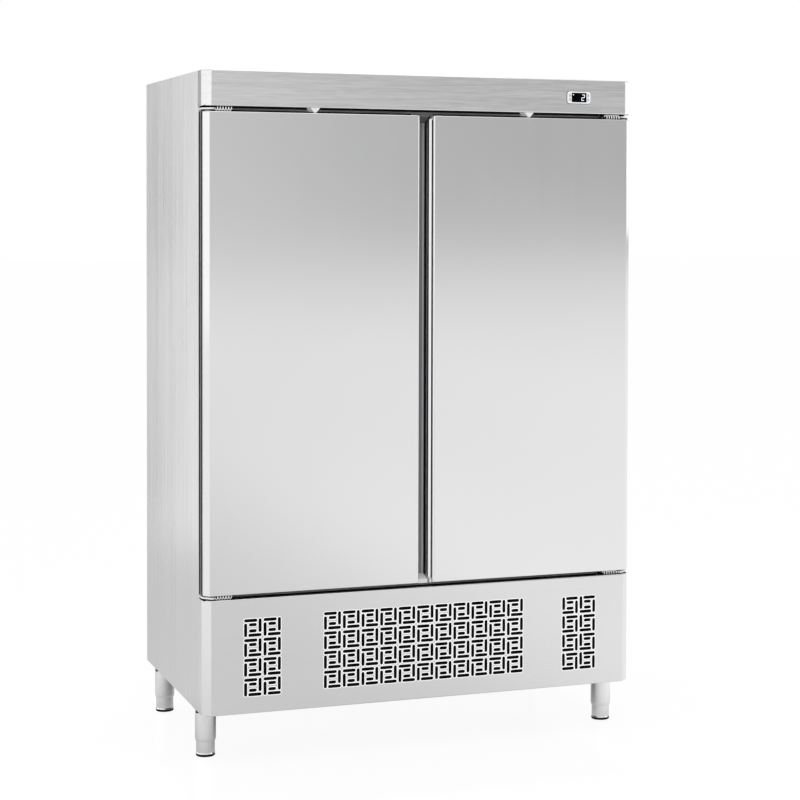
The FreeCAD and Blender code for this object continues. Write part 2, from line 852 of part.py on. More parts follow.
def evaporator_cover():
    """Folded cover under the ceiling, with a hole below each fan."""
    half = evaporator_cover_width / 2
    low = cell_ceiling_z - evaporator_cover_height
    shell = box(-half, half, evaporator_cover_front, cell_back, low, cell_ceiling_z)
    shell = shell.cut(box(-half + cover_sheet, half - cover_sheet, evaporator_cover_front + cover_sheet,
                          cell_back - cover_sheet, low + cover_sheet, cell_ceiling_z))
    for side in SIDES:
        shell = shell.cut(rod(side * evaporator_fan_x, evaporator_fan_depth, low - overrun,
                              evaporator_fan_radius + fan_ring_gap, 2 * overrun, ALONG_Z))
    return shell


def evaporator_coil():
    """Evaporator inside its cover, behind the fans."""
    half = evaporator_coil_width / 2
    back = cell_back - cover_sheet - evaporator_coil_margin
    low = cell_ceiling_z - evaporator_cover_height + cover_sheet + evaporator_coil_margin
    return finned_coil(-half, half, back - evaporator_coil_depth, back, low, cell_ceiling_z,
                       evaporator_fins, condenser_tube_columns, condenser_tube_columns, low)


def refrigerant_pipes():
    """Discharge pipe, liquid line with its drier, and suction pipe."""
    coil_side = condenser_width / 2
    coil_depth = condenser_front + condenser_depth / 2
    high = condenser_low_z() + condenser_height - condenser_floor_gap
    low = condenser_low_z() + condenser_floor_gap
    body_top = tray_top_z + compressor_mount_height + compressor_plate_thickness + compressor_height
    discharge = bent_pipe([(compressor_x, compressor_depth, body_top),
                           (compressor_x, compressor_depth, body_top + pipe_rise),
                           (compressor_x, coil_depth, body_top + pipe_rise),
                           (compressor_x, coil_depth, high), (coil_side, coil_depth, high)], pipe_radius)
    side = coil_side + pipe_out
    drier_end = drier_front + drier_length
    liquid = bent_pipe([(coil_side, coil_depth, low), (side, coil_depth, low), (side, drier_front, low)],
                       pipe_radius)
    drier = rod(side, drier_front, low, drier_radius, drier_length, ALONG_Y)
    capillary = bent_pipe([(side, drier_end, low), (side, drier_end + pipe_out, low),
                           (side, drier_end + pipe_out, panel_top_z)], capillary_radius)
    suction_z = tray_top_z + compressor_mount_height + compressor_plate_thickness + suction_height
    suction_x = compressor_x + compressor_radius
    suction = bent_pipe([(suction_x, compressor_depth, suction_z),
                         (suction_x + pipe_out, compressor_depth, suction_z),
                         (suction_x + pipe_out, compressor_depth, panel_top_z)], pipe_radius)
    return group([discharge, fused([liquid, drier, capillary]), suction])


def condensate_pan():
    """Open pan on the tray that collects the melt water."""
    low_x = pan_x - pan_width / 2
    high_x = pan_x + pan_width / 2
    back = pan_front + pan_depth
    pan = box(low_x, high_x, pan_front, back, tray_top_z, tray_top_z + pan_height)
    return pan.cut(box(low_x + pan_wall, high_x - pan_wall, pan_front + pan_wall, back - pan_wall,
                       tray_top_z + pan_wall, tray_top_z + pan_height + overrun))


def shelf_uprights():
    """Six channels that carry the shelf runners: four on the side walls, two in the middle."""
    low = cell_floor_z + upright_end_gap
    high = cell_ceiling_z - evaporator_cover_height - upright_end_gap
    half = upright_width / 2
    thick = upright_thickness
    wall = upright_wall
    channels = []
    for side in SIDES:
        for depth in (upright_front, upright_rear):
            root = side * cell_half_width
            face = side * (cell_half_width - thick)
            outer = box(root, face, depth - half, depth + half, low, high)
            inner = box(root, face + side * wall, depth - half + wall, depth + half - wall, low, high)
            channels.append(outer.cut(inner))
    for root, face, hollow in ((header_back, header_back + thick, header_back + thick - wall),
                               (cell_back, cell_back - thick, cell_back - thick + wall)):
        outer = box(-half, half, min(root, face), max(root, face), low, high)
        inner = box(-half + wall, half - wall, min(root, hollow), max(root, hollow), low, high)
        channels.append(outer.cut(inner))
    return group(channels)


def runner_z(level):
    """Height of a runner's ledge; level 0 is the lowest shelf."""
    low = cell_floor_z
    high = cell_ceiling_z - evaporator_cover_height
    return low + (level + 1) * (high - low) / (shelf_levels + 1)


def shelf_runners():
    """Angles along both sides of each bay, one pair for each shelf."""
    runners = []
    for side in SIDES:
        for level in range(shelf_levels):
            z = runner_z(level)
            wall_face = side * (cell_half_width - upright_thickness)
            middle_face = side * upright_width / 2
            low = z - runner_sheet
            for face, inward, front, back in (
                    (wall_face, -side, upright_front - upright_width, upright_rear + upright_width),
                    (middle_face, side, header_back, cell_back)):
                upright = box(face, face + inward * runner_sheet, front, back, low, z + runner_height)
                ledge = box(face, face + inward * runner_width, front, back, low, z)
                runners.append(fused([upright, ledge]))
    return group(runners)


shelf_low_x = upright_width / 2 + runner_sheet + shelf_side_gap + shelf_frame_radius
shelf_high_x = cell_half_width - upright_thickness - runner_sheet - shelf_side_gap - shelf_frame_radius


def wire_shelf():
    """Wire shelf of the left bay, with the middle of its frame wires at height zero."""
    front = shelf_front
    back = cell_back - shelf_rear_gap
    width = shelf_high_x - shelf_low_x
    length = back - front
    pieces = []
    for x in (-shelf_low_x, -shelf_high_x):
        pieces.append(rod(x, front, 0, shelf_frame_radius, length, ALONG_Y))
        for depth in (front, back):
            pieces.append(Part.makeSphere(shelf_frame_radius, Vector(x, at_depth(depth), 0)))
    for index in range(shelf_supports + 2):
        depth = front + index * length / (shelf_supports + 1)
        pieces.append(rod(-shelf_high_x, depth, 0, shelf_frame_radius, width, ALONG_X))
    wire_z = shelf_frame_radius + shelf_wire_radius - shelf_weld
    for index in range(shelf_wires):
        x = -shelf_high_x + (index + 1) * width / (shelf_wires + 1)
        pieces.append(rod(x, front, wire_z, shelf_wire_radius, length, ALONG_Y))
    return pieces[0].multiFuse(pieces[1:])


def placed_shelf(shelf, side, level):
    """Copy of the wire shelf on one pair of runners."""
    placed = shelf.copy()
    shift_x = 0 if side == LEFT else shelf_low_x + shelf_high_x
    placed.translate(Vector(shift_x, 0, runner_z(level) + shelf_frame_radius))
    return placed


def leg_places():
    """Name, X and depth of each leg's axis."""
    x = half_width - leg_side_inset
    rear = cabinet_depth - leg_rear_inset
    return [("front_left", -x, leg_front_depth), ("front_right", x, leg_front_depth),
            ("rear_left", -x, rear), ("rear_right", x, rear)]


foot_sleeve_top = collar_low + foot_travel + foot_engagement
nut_low = foot_sleeve_top + nut_lift


def leg_tube(x, depth):
    """Leg: mounting plate, tube, tapered collar and the nut for the foot's stem."""
    plate_low = leg_height - leg_plate_thickness
    plate = upright_prism(rounded_rectangle(x, depth, leg_plate, leg_plate, leg_plate_radius),
                          plate_low, leg_height)
    collar_top = collar_low + collar_height
    tube = rod(x, depth, collar_top, leg_radius, plate_low - collar_top, ALONG_Z)
    collar = Part.makeCone(leg_radius - collar_taper, leg_radius, collar_height,
                           Vector(x, at_depth(depth), collar_low), ALONG_Z)
    bore = rod(x, depth, collar_low - overrun, foot_radius + foot_gap, collar_height + 2 * overrun, ALONG_Z)
    inner = leg_radius - leg_wall
    lower_room = rod(x, depth, collar_top, inner, nut_low - collar_top, ALONG_Z)
    nut_top = nut_low + nut_thickness
    upper_room = rod(x, depth, nut_top, inner, plate_low - nut_top, ALONG_Z)
    hole_length = nut_thickness + 2 * overrun
    stem_hole = rod(x, depth, nut_low - overrun, stem_radius + running_gap, hole_length, ALONG_Z)
    leg = fused([plate, tube, collar])
    return leg.cut(bore).cut(lower_room).cut(upper_room).cut(stem_hole)


def foot(x, depth):
    """Adjustable foot: rubber pad, and a cup with a threaded stem."""
    pad = rod(x, depth, 0, foot_radius + pad_overhang, pad_height, ALONG_Z)
    low_edge = [edge for edge in pad.Edges if edge.Closed and edge.BoundBox.ZMax < pad_height / 2]
    pad = pad.makeChamfer(pad_chamfer, low_edge)
    cup = rod(x, depth, pad_height, foot_radius, foot_sleeve_top - pad_height, ALONG_Z)
    floor_top = pad_height + foot_floor
    room = foot_sleeve_top - floor_top + overrun
    cup = cup.cut(rod(x, depth, floor_top, foot_radius - foot_wall, room, ALONG_Z))
    stem_top = leg_height - leg_plate_thickness - stem_end_gap
    stem = rod(x, depth, pad_height, stem_radius, stem_top - pad_height, ALONG_Z)
    return group([pad, fused([cup, stem])])


def hinge_x(side):
    """X of a door's hinge axis."""
    return side * (half_width - hinge_inset)


def bracket_z(upper):
    """Faces of a hinge bracket's plate: the one at the door, and the far one."""
    if upper:
        near = door_high_z + gap_over_doors / 2 - bracket_thickness / 2
        return near, near + bracket_thickness
    near = door_low_z - gap_under_doors / 2 + bracket_thickness / 2
    return near, near - bracket_thickness


def hinge_bracket(side, upper):
    """Bracket with a chamfered plate, an arm, a leg on the frame strip and a riveted pin."""
    near, far = bracket_z(upper)
    low, high = min(near, far), max(near, far)
    edge = half_width - bracket_side_inset
    plate_end = half_width - bracket_plate_width
    arm_end = half_width - bracket_arm_width
    arm_front = strip_front - bracket_arm_depth
    plan = [(side * edge, strip_front, 0), (side * edge, bracket_front + bracket_corner, 0),
            (side * (edge - bracket_corner), bracket_front, 0),
            (side * plate_end, bracket_front, bend_radius), (side * plate_end, arm_front, bend_radius),
            (side * arm_end, arm_front, bend_radius), (side * arm_end, strip_front, 0)]
    plate = upright_prism(plan, low, high)
    leg_side = side * (edge - bracket_leg_inset)
    leg_end = side * arm_end
    leg_front = strip_front - bracket_leg_thickness
    reach = bracket_leg_height if upper else -bracket_leg_height
    leg = box(leg_side, leg_end, leg_front, strip_front, min(near, near + reach), max(near, near + reach))
    toward_door = ALONG_Z * (-1 if upper else 1)
    pin = rod(hinge_x(side), hinge_depth, far, pin_radius, bracket_thickness + pin_length, toward_door)
    pin_rim = [edge for edge in pin.Edges
               if edge.Closed and abs(edge.BoundBox.ZMax - near) > pin_length / 2
               and edge.BoundBox.ZLength < seam]
    pin = pin.makeChamfer(seam, pin_rim)
    return fused([plate, leg, pin])


def door_contact(side):
    """Tapered switch tab that hangs from behind the fascia into the gap over a door."""
    x = side * (half_width - tab_side_distance)
    tip = door_high_z + tab_tip_gap
    top = fascia_low_z + tab_rise
    half_top = tab_top_width / 2
    half_tip = tab_tip_width / 2
    corners = [(x - half_tip, tip, 0), (x + half_tip, tip, 0), (x + half_top, fascia_low_z, 0),
               (x + half_top, top, 0), (x - half_top, top, 0), (x - half_top, fascia_low_z, 0)]
    return front_prism(corners, tab_front, strip_front)


def controller_places():
    """X and Z of the thermostat's centre."""
    return controller_x, cabinet_height - controller_z_below_top


def controller_housing():
    """Body of the thermostat behind the fascia, with the pocket that holds the keys."""
    x, z = controller_places()
    plan = rounded_rectangle(x, z, housing_width, housing_height, window_radius)
    room = rounded_rectangle(x, z, housing_width - 2 * housing_wall, housing_height - 2 * housing_wall,
                             window_radius)
    return front_prism(plan, 0, housing_depth).cut(front_prism(room, 0, housing_pocket))


def key_offsets():
    """Name and place of each key, from the thermostat's centre."""
    return [("key_up", -key_x, key_z), ("key_down", -key_x, -key_z),
            ("key_set", key_x, key_z), ("key_defrost", key_x, -key_z)]


def controller_bezel():
    """White front frame of the thermostat, with openings for the window and the keys."""
    x, z = controller_places()
    plate = front_prism(rounded_rectangle(x, z, bezel_width, bezel_height, bezel_radius), -bezel_proud, 0)
    rim = [edge for edge in plate.Edges if edge.BoundBox.YMax < at_depth(-bezel_proud / 2)]
    plate = plate.makeFillet(bezel_proud / 2, rim)
    cuts = [front_prism(rounded_rectangle(x, z, window_width, window_height, window_radius),
                        -bezel_proud - overrun, overrun)]
    for name, shift_x, shift_z in key_offsets():
        cuts.append(front_prism(rounded_rectangle(x + shift_x, z + shift_z, key_width + 2 * key_gap,
                                                  key_height + 2 * key_gap, key_radius + key_gap),
                                -bezel_proud - overrun, overrun))
    return plate.cut(group(cuts))


def controller_display():
    """Dark window of the thermostat, seated on the housing."""
    x, z = controller_places()
    return front_prism(rounded_rectangle(x, z, window_width, window_height, window_radius),
                       window_recess - bezel_proud, housing_pocket)


def key(shift_x, shift_z):
    """Push key with a flange that keeps it behind the bezel."""
    x, z = controller_places()
    cap = front_prism(rounded_rectangle(x + shift_x, z + shift_z, key_width, key_height, key_radius),
                      -bezel_proud - key_proud, key_flange_start + key_flange_thickness)
    rim = [edge for edge in cap.Edges if edge.BoundBox.YMax < at_depth(-bezel_proud)]
    cap = cap.makeFillet(key_proud / 2, rim)
    flange = front_prism(rounded_rectangle(x + shift_x, z + shift_z, key_width + 2 * key_flange,
                                           key_height + 2 * key_flange, key_radius),
                         key_flange_start, key_flange_start + key_flange_thickness)
    return fused([cap, flange])


def tip_distance(side):
    """Distance from the cabinet's middle plane to a door's deep edge, towards its hinge."""
    return door_gap_offset * side + door_gap / 2


def door_skin_tray(side):
    """Steel front of a door: face, chamfered hinge edge, folds at the ends and the grip lip."""
    edge = half_width - door_inset

    def corners(inset, depth, end_depth, radius):
        start = door_corner + inset * offset_gain
        return [(side * (grip_half_width + inset), depth, radius), (side * (edge - start), depth, 0),
                (side * (edge - inset), start, 0), (side * (edge - inset), end_depth, 0),
                (side * (grip_half_width + inset), end_depth, 0)]
    skin = upright_prism(corners(0, 0, door_skin_depth, lip_radius), door_low_z, door_high_z)
    hem_start = door_skin_depth - door_skin
    core = upright_prism(corners(door_skin, door_skin, hem_start, lip_radius - door_skin),
                         door_low_z + door_skin, door_high_z - door_skin)
    mouth = box(side * (grip_half_width + door_skin), side * (edge - door_hem), hem_start - door_skin,
                door_skin_depth + overrun, door_low_z + door_hem, door_high_z - door_hem)
    grip = box(side * (grip_half_width - overrun), side * (grip_half_width + grip_profile_width), lip_depth,
               door_skin_depth + overrun, door_low_z + door_skin, door_high_z - door_skin)
    return skin.cut(core).cut(mouth).cut(grip)


def door_handle(side):
    """Full-height grip profile: groove behind the lip, side wall, deep floor and hollow chambers."""
    tip = tip_distance(side)
    face = grip_half_width + door_skin
    wall = grip_half_width + grip_wall_step
    back_side = face + grip_profile_width - door_skin
    groove = wall + grip_groove_reach
    groove_end = lip_depth + grip_groove_depth
    foot = grip_floor_depth + grip_foot_groove
    section = [(face, door_skin, lip_radius - door_skin), (face, lip_depth, 0), (groove, lip_depth, 0),
               (groove, groove_end, 0), (wall, groove_end, 0), (wall, foot, 0),
               (wall - grip_foot_groove, foot, 0), (wall - grip_foot_groove, grip_floor_depth, 0),
               (tip, grip_floor_depth, 0), (tip, door_depth, 0), (back_side, door_depth, 0),
               (back_side, door_skin, 0)]
    low = door_low_z + door_skin
    high = door_high_z - door_skin
    profile = upright_prism([(side * u, depth, radius) for u, depth, radius in section], low, high)
    thick = grip_profile_wall
    chambers = [box(side * (wall + thick), side * (back_side - thick), groove_end + thick, door_depth - thick,
                    low + thick, high - thick)]
    floor_low = tip + thick
    floor_high = wall - grip_foot_groove - thick
    if floor_high - floor_low > thick:
        chambers.append(box(side * floor_low, side * floor_high, grip_floor_depth + thick, door_depth - thick,
                            low + thick, high - thick))
    return profile.cut(group(chambers))


def door_caps(side):
    """Sloped end pieces that close the grip channel at the door's bottom and top."""
    inner = side * tip_distance(side)
    outer = side * grip_half_width
    caps = []
    for end_z, upward in ((door_low_z, 1), (door_high_z, -1)):
        corners = [(cap_setback, end_z, 0), (cap_setback, end_z + upward * cap_front_height, bend_radius),
                   (grip_floor_depth, end_z + upward * cap_back_height, 0), (grip_floor_depth, end_z, 0)]
        caps.append(cross_prism(corners, min(inner, outer), max(inner, outer)))
    return group(caps)


def liner_span(side):
    """Limits of a door liner: the two distances from the middle plane, and its low and high ends."""
    inner = grip_half_width + grip_profile_width
    outer = half_width - door_inset - liner_inset
    return inner, outer, door_low_z + liner_inset, door_high_z - liner_inset


def at_bushes(side, radius, length, start_gap):
    """One cylinder on the hinge axis at each end of a door, from just off the bracket into the door."""
    ends = []
    for upper, inward in ((False, 1), (True, -1)):
        start = bracket_z(upper)[0] + inward * start_gap
        ends.append(rod(hinge_x(side), hinge_depth, start, radius, length, ALONG_Z * inward))
    return ends


def door_liner(side):
    """Inner pan of a door, with a raised middle and a bush at each end of the hinge side."""
    inner, outer, low, high = liner_span(side)
    thick = liner_wall
    pan = box(side * inner, side * outer, door_skin_depth, door_depth, low, high)
    plug_inner = inner + plug_handle_margin
    plug_outer = outer - plug_margin
    plug_low = low + plug_margin
    plug_high = high - plug_margin
    plug_back = door_depth + plug_height
    plug = box(side * plug_inner, side * plug_outer, door_skin_depth, plug_back, plug_low, plug_high)
    plug_edges = [edge for edge in plug.Edges if edge.BoundBox.YMin > at_depth(plug_back - seam)]
    plug = plug.makeFillet(plug_height / 2, plug_edges)
    room = box(side * (inner + thick), side * (outer - thick), door_skin_depth - overrun, door_depth - thick,
               low + thick, high - thick)
    plug_room = box(side * (plug_inner + thick), side * (plug_outer - thick), door_skin_depth - overrun,
                    plug_back - thick, plug_low + thick, plug_high - thick)
    shell = fused([pan, plug]).cut(room).cut(plug_room)
    shell = fused([shell] + at_bushes(side, bush_radius, bush_length, seam))
    return shell.cut(group(at_bushes(side, pin_radius + running_gap, pin_length + seam, 0)))


def door_foam(side):
    """Foam core of a door, clear of the bushes."""
    inner, outer, low, high = liner_span(side)
    gap = seam
    room = liner_wall + gap
    edge = half_width - door_inset
    inset = door_skin + gap
    start = door_corner + inset * offset_gain + (liner_inset + room)
    corners = [(side * (inner + gap), inset, 0), (side * (edge - start), inset, 0),
               (side * (outer - room), start + inset - (liner_inset + room) + gap, 0),
               (side * (outer - room), door_depth - room, 0), (side * (inner + room), door_depth - room, 0),
               (side * (inner + room), door_skin_depth, 0), (side * (inner + gap), door_skin_depth - gap, 0)]
    core = upright_prism(corners, low + room, high - room)
    return core.cut(group(at_bushes(side, bush_radius + gap, bush_length + gap, seam)))


def door_gasket(side):
    """Magnetic gasket of a door: four strips that meet in a ring."""
    free = tip_distance(side) + gasket_free_inset
    hinge = half_width - gasket_hinge_inset
    low = door_low_z + gasket_end_inset
    high = door_high_z - gasket_end_inset
    back = strip_front - gasket_compression_gap
    spans = [(free, free + gasket_width, low, high), (hinge - gasket_width, hinge, low, high),
             (free + gasket_width, hinge - gasket_width, low, low + gasket_width),
             (free + gasket_width, hinge - gasket_width, high - gasket_width, high)]
    return group([box(side * one, side * two, door_depth, back, z_one, z_two)
                  for one, two, z_one, z_two in spans])


def save(name, shape):
    """Write one node and report a shape that is not sound."""
    if not shape.isValid():
        print("not valid:", name)
    shape.exportStep("parts/" + name + ".step")


side_names = {LEFT: "left", RIGHT: "right"}
shelf = wire_shelf()

for side in SIDES:
    save(side_names[side] + "_side_panel", side_panel(side))
    save(side_names[side] + "_door_skin", door_skin_tray(side))
    save(side_names[side] + "_door_handle", door_handle(side))
    save(side_names[side] + "_door_caps", door_caps(side))
    save(side_names[side] + "_door_liner", door_liner(side))
    save(side_names[side] + "_door_foam", door_foam(side))
    save(side_names[side] + "_door_gasket", door_gasket(side))
    save("evaporator_fan_" + side_names[side], evaporator_fan(side))
    for level, level_name in enumerate(("bottom", "middle", "top")):
        save(side_names[side] + "_shelf_" + level_name, placed_shelf(shelf, side, level))

save("top_panel", top_panel())
save("back_panel", back_panel())
save("insulation_shell", insulation_shell())
save("inner_liner", inner_liner())
save("breaker_frame", breaker_frame())
save("centre_mullion", centre_mullion())
save("fascia_panel", fascia_panel())
save("lower_grille_panel", lower_grille_panel())
save("base_tray", base_tray())
save("rear_grille", rear_grille())
save("panel_screws", panel_screws())
save("cable_gland", cable_gland())
save("electrical_box", electrical_box())
save("compressor", compressor())
save("condenser_coil", condenser_coil())
save("condenser_fan_shroud", condenser_fan_shroud())
save("condenser_fan", condenser_fan())
save("fan_motors", fan_motors())
save("evaporator_cover", evaporator_cover())
save("evaporator_coil", evaporator_coil())
save("refrigerant_pipes", refrigerant_pipes())
save("condensate_pan", condensate_pan())
save("shelf_uprights", shelf_uprights())
save("shelf_runners", shelf_runners())
save("hinge_brackets", group([hinge_bracket(side, upper) for side in SIDES for upper in (False, True)]))
save("door_contacts", group([door_contact(side) for side in SIDES]))
save("controller_housing", controller_housing())
save("controller_bezel", controller_bezel())
save("controller_display", controller_display())
for name, shift_x, shift_z in key_offsets():
    save(name, key(shift_x, shift_z))
save("leg_tubes", group([leg_tube(x, depth) for name, x, depth in leg_places()]))
for name, x, depth in leg_places():
    save("foot_" + name, foot(x, depth))
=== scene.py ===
"""Looks of an upright refrigerated cabinet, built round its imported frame.

Metres, +Z up, the doors face -Y. Depths are measured back from the plane of the door faces.
"""

from math import cos, pi, radians, sin

import bmesh
import bpy
from bpy.props import FloatProperty, FloatVectorProperty, IntProperty, PointerProperty
from mathutils import Matrix, Vector


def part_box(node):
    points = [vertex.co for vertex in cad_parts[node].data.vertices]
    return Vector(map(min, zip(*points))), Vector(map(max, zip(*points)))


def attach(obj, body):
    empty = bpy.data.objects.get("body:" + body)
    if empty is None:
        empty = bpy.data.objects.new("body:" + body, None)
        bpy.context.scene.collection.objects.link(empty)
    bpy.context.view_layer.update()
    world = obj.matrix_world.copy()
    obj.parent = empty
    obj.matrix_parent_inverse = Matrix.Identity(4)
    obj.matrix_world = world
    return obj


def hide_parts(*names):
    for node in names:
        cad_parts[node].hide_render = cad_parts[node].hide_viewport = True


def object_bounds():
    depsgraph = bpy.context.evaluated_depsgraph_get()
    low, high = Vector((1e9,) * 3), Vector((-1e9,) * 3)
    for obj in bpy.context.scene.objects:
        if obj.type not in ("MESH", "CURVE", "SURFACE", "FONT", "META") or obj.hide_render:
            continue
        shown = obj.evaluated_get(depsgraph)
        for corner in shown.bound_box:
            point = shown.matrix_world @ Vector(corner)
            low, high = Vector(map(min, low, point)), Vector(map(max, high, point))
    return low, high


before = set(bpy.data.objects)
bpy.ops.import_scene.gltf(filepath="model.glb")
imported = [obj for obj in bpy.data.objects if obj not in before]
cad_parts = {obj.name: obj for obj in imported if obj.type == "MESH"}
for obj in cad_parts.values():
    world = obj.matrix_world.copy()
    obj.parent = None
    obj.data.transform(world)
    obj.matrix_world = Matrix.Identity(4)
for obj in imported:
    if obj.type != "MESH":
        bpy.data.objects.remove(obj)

bl_info = {
    "name": "Refrigerated cabinet",
    "version": (1, 0, 0),
    "blender": (4, 5, 0),
    "location": "3D View > Sidebar > Cabinet",
    "description": "Builds the visible pieces of an upright refrigerated cabinet with hinged doors",
    "category": "Object",
}

CAD_LOW, CAD_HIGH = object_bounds()
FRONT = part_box("fascia_panel")[0].y
SIDES = {"left": -1, "right": 1}
X_AXIS = Vector((1, 0, 0))
Y_AXIS = Vector((0, 1, 0))
Z_AXIS = Vector((0, 0, 1))

# Tolerances: same place, margin of a test on a place, a face square to an axis, reach of cutters
SAME = 1e-5
HAIR = 1e-4
SQUARE = 0.99
OVERRUN = 0.02

# Where each grip's nose starts beside the middle of the doors, and the axis of the hinges
NOSE_STARTS = {"left": 0.0205, "right": 0.0245}
HINGE_INSET = 0.020
HINGE_DEPTH = 0.034

# Black seals in front of the frame strips, whose black also stands for the shade in the gaps: depths, and how
# far from the cabinet's sides they end
SEAL_FRONT = 0.0600
SEAL_BACK = 0.0621
SEAL_INSET = 0.09

FOOT_BEND = 0.0005


def metres(name, description, default):
    """Length among the settings."""
    return FloatProperty(name=name, description=description, default=default, unit="LENGTH")


def tone(name, description, default):
    """Colour among the settings."""
    return FloatVectorProperty(name=name, description=description, default=default, size=3,
                               subtype="COLOR", min=0, max=1)


def degrees(name, description, default):
    """Angle among the settings."""
    return FloatProperty(name=name, description=description, default=radians(default), unit="ROTATION")


class CabinetSizes(bpy.types.PropertyGroup):
    """Sizes that shape the visible pieces."""

    door_sheet: metres("Door sheet", "Thickness of a door's steel front", 0.001)
    cover_sheet: metres("Cover sheet", "Thickness of the fascia and the lower panel", 0.0012)
    bend: metres("Bend", "Radius on the folded edges of the sheets", 0.0014)
    door_corner: metres("Door chamfer", "Chamfer on the hinge edge of a door", 0.016)
    fascia_corner: metres("Fascia chamfer", "Chamfer on the corners of the fascia", 0.0248)
    lower_corner: metres("Lower panel chamfer", "Chamfer on the lower panel's corners", 0.0235)
    cover_fold: metres("Cover fold", "Depth of the folds of the covers", 0.015)
    hem: metres("Door hem", "Width of the hem behind a door's front", 0.004)
    edge_round: metres("Edge radius", "Radius on the upper and lower edges of the fronts", 0.0028)
    lip_depth: metres("Grip lip", "Depth of the nose along the grip", 0.008)
    nose: metres("Grip nose", "Width of the rounded nose beside a door's front", 0.005)
    grip_floor: metres("Grip depth", "Depth of the floor of the grip channel", 0.041)
    gap_shift: metres("Gap shift", "How far right of the middle the doors meet", 0.0115)
    door_gap: metres("Door gap", "Gap between the deep edges of the doors", 0.006)
    slot_width: metres("Slot width", "Width of one air slot", 0.0098)
    slot_long: metres("Long slot", "Length of the outer slots of a cell", 0.0412)
    slot_short: metres("Short slot", "Length of the two inner slots of a cell", 0.0245)
    slot_cell: metres("Slot cell", "Width over one cell of slots", 0.054)
    slot_pitch: metres("Slot pitch", "Distance between the cells of slots", 0.0595)
    slot_rim: metres("Slot rim", "Width of the pressed rim round an air slot", 0.0021)
    slot_rows: IntProperty(name="Slot rows", description="Rows of cells in each grille", default=4, min=1)
    shelf_wires: IntProperty(name="Shelf wires", description="Wires on each shelf", default=20, min=2)


class CabinetColours(bpy.types.PropertyGroup):
    """Colours of the finishes."""

    steel: tone("Steel", "Brushed steel of the outer panels", (0.80, 0.80, 0.805))
    door_steel: tone("Door steel", "Satin steel of the door fronts", (0.82, 0.82, 0.825))
    galvanised: tone("Galvanised sheet", "Back, floor and rear cover", (0.56, 0.57, 0.58))
    gasket: tone("Gasket", "Rubber of the door gaskets", (0.008, 0.008, 0.009))
    strip: tone("Frame strips", "Plastic strips round the openings", (0.66, 0.665, 0.67))
    bezel: tone("Bezel", "Frame of the thermostat", (0.96, 0.96, 0.96))
    digits: tone("Digits", "Lit segments of the thermostat", (0.88, 0.93, 1.0))


class CabinetStudio(bpy.types.PropertyGroup):
    """Camera and light."""

    place: FloatVectorProperty(name="Place", description="Place of the camera", size=3,
                               default=(-2.0538, -6.2897, 1.6560), unit="LENGTH")
    lens: FloatProperty(name="Lens", description="Focal length in millimetres", default=91.417, min=1)
    shift: FloatVectorProperty(name="Shift", description="Shift of the frame, in shares of its width", size=2,
                               default=(-0.10405, -0.16158), precision=5)
    yaw: degrees("Yaw", "Turn of the camera from straight ahead towards the right", 20.877)
    pitch: degrees("Pitch", "Tilt of the camera, downwards is negative", -1.708)
    roll: degrees("Roll", "Turn of the camera about its line of sight", 0.209)
    backdrop: FloatProperty(name="Backdrop", description="Brightness of the floor for the camera",
                            default=1.03)
    room: FloatProperty(name="Room", description="Brightness of the room behind the cabinet", default=0.42)
    # Painted shade: how much darker the floor behind the cabinet shows in the steel's reflections
    behind: FloatProperty(name="Floor behind", default=0.45,
                          description="How much darker the floor behind is in the steel")
    lamp: FloatProperty(name="Lamps", description="Radiance of the soft boxes", default=1.0)
    rear_lamp: FloatProperty(name="Rear lamp", default=1.15,
                             description="Radiance of the soft box behind the left side")


def at_depth(depth):
    """Y of a plane that lies this far behind the door faces."""
    return FRONT + depth


def clear():
    """Leave edit mode and deselect everything."""
    if bpy.context.mode != "OBJECT":
        bpy.ops.object.mode_set(mode="OBJECT")
    bpy.ops.object.select_all(action="DESELECT")


def take(piece):
    """Make one piece the only selected and active one."""
    clear()
    piece.select_set(True)
    bpy.context.view_layer.objects.active = piece


def named(name):
    """Name the piece that was just added and put its place into its mesh."""
    piece = bpy.context.active_object
    piece.name = name
    piece.data.name = name
    bpy.ops.object.transform_apply(location=True, rotation=True, scale=True)
    return piece


def new_block(name, low, high):
    """Box between two corners."""
    clear()
    low, high = Vector(low), Vector(high)
    bpy.ops.mesh.primitive_cube_add(size=1, location=(low + high) / 2, scale=high - low)
    return named(name)


def new_rod(name, start, end, radius, sides):
    """Round bar between two points."""
    clear()
    start, end = Vector(start), Vector(end)
    turn = (end - start).to_track_quat("Z", "Y").to_euler()
    bpy.ops.mesh.primitive_cylinder_add(vertices=sides, radius=radius, depth=(end - start).length,
                                        location=(start + end) / 2, rotation=turn)
    return named(name)


def new_prism(name, outline, axis, start, end):
    """Prism along an axis over an outline: (x, depth) for Z, (x, z) for Y, (depth, z) for X."""
    clear()
    bpy.ops.mesh.primitive_circle_add(vertices=len(outline), fill_type="NGON")
    piece = named(name)
    for vertex, (one, two) in zip(piece.data.vertices, outline):
        vertex.co = {"Z": (one, at_depth(two), start), "Y": (one, at_depth(start), two),
                     "X": (start, at_depth(one), two)}[axis]
    along = {"X": X_AXIS, "Y": Y_AXIS, "Z": Z_AXIS}[axis] * (end - start)
    bpy.ops.object.mode_set(mode="EDIT")
    bpy.ops.mesh.select_all(action="SELECT")
    bpy.ops.mesh.extrude_region_move(TRANSFORM_OT_translate={"value": along})
    bpy.ops.mesh.select_all(action="SELECT")
    bpy.ops.mesh.normals_make_consistent(inside=False)
    bpy.ops.object.mode_set(mode="OBJECT")
    return piece


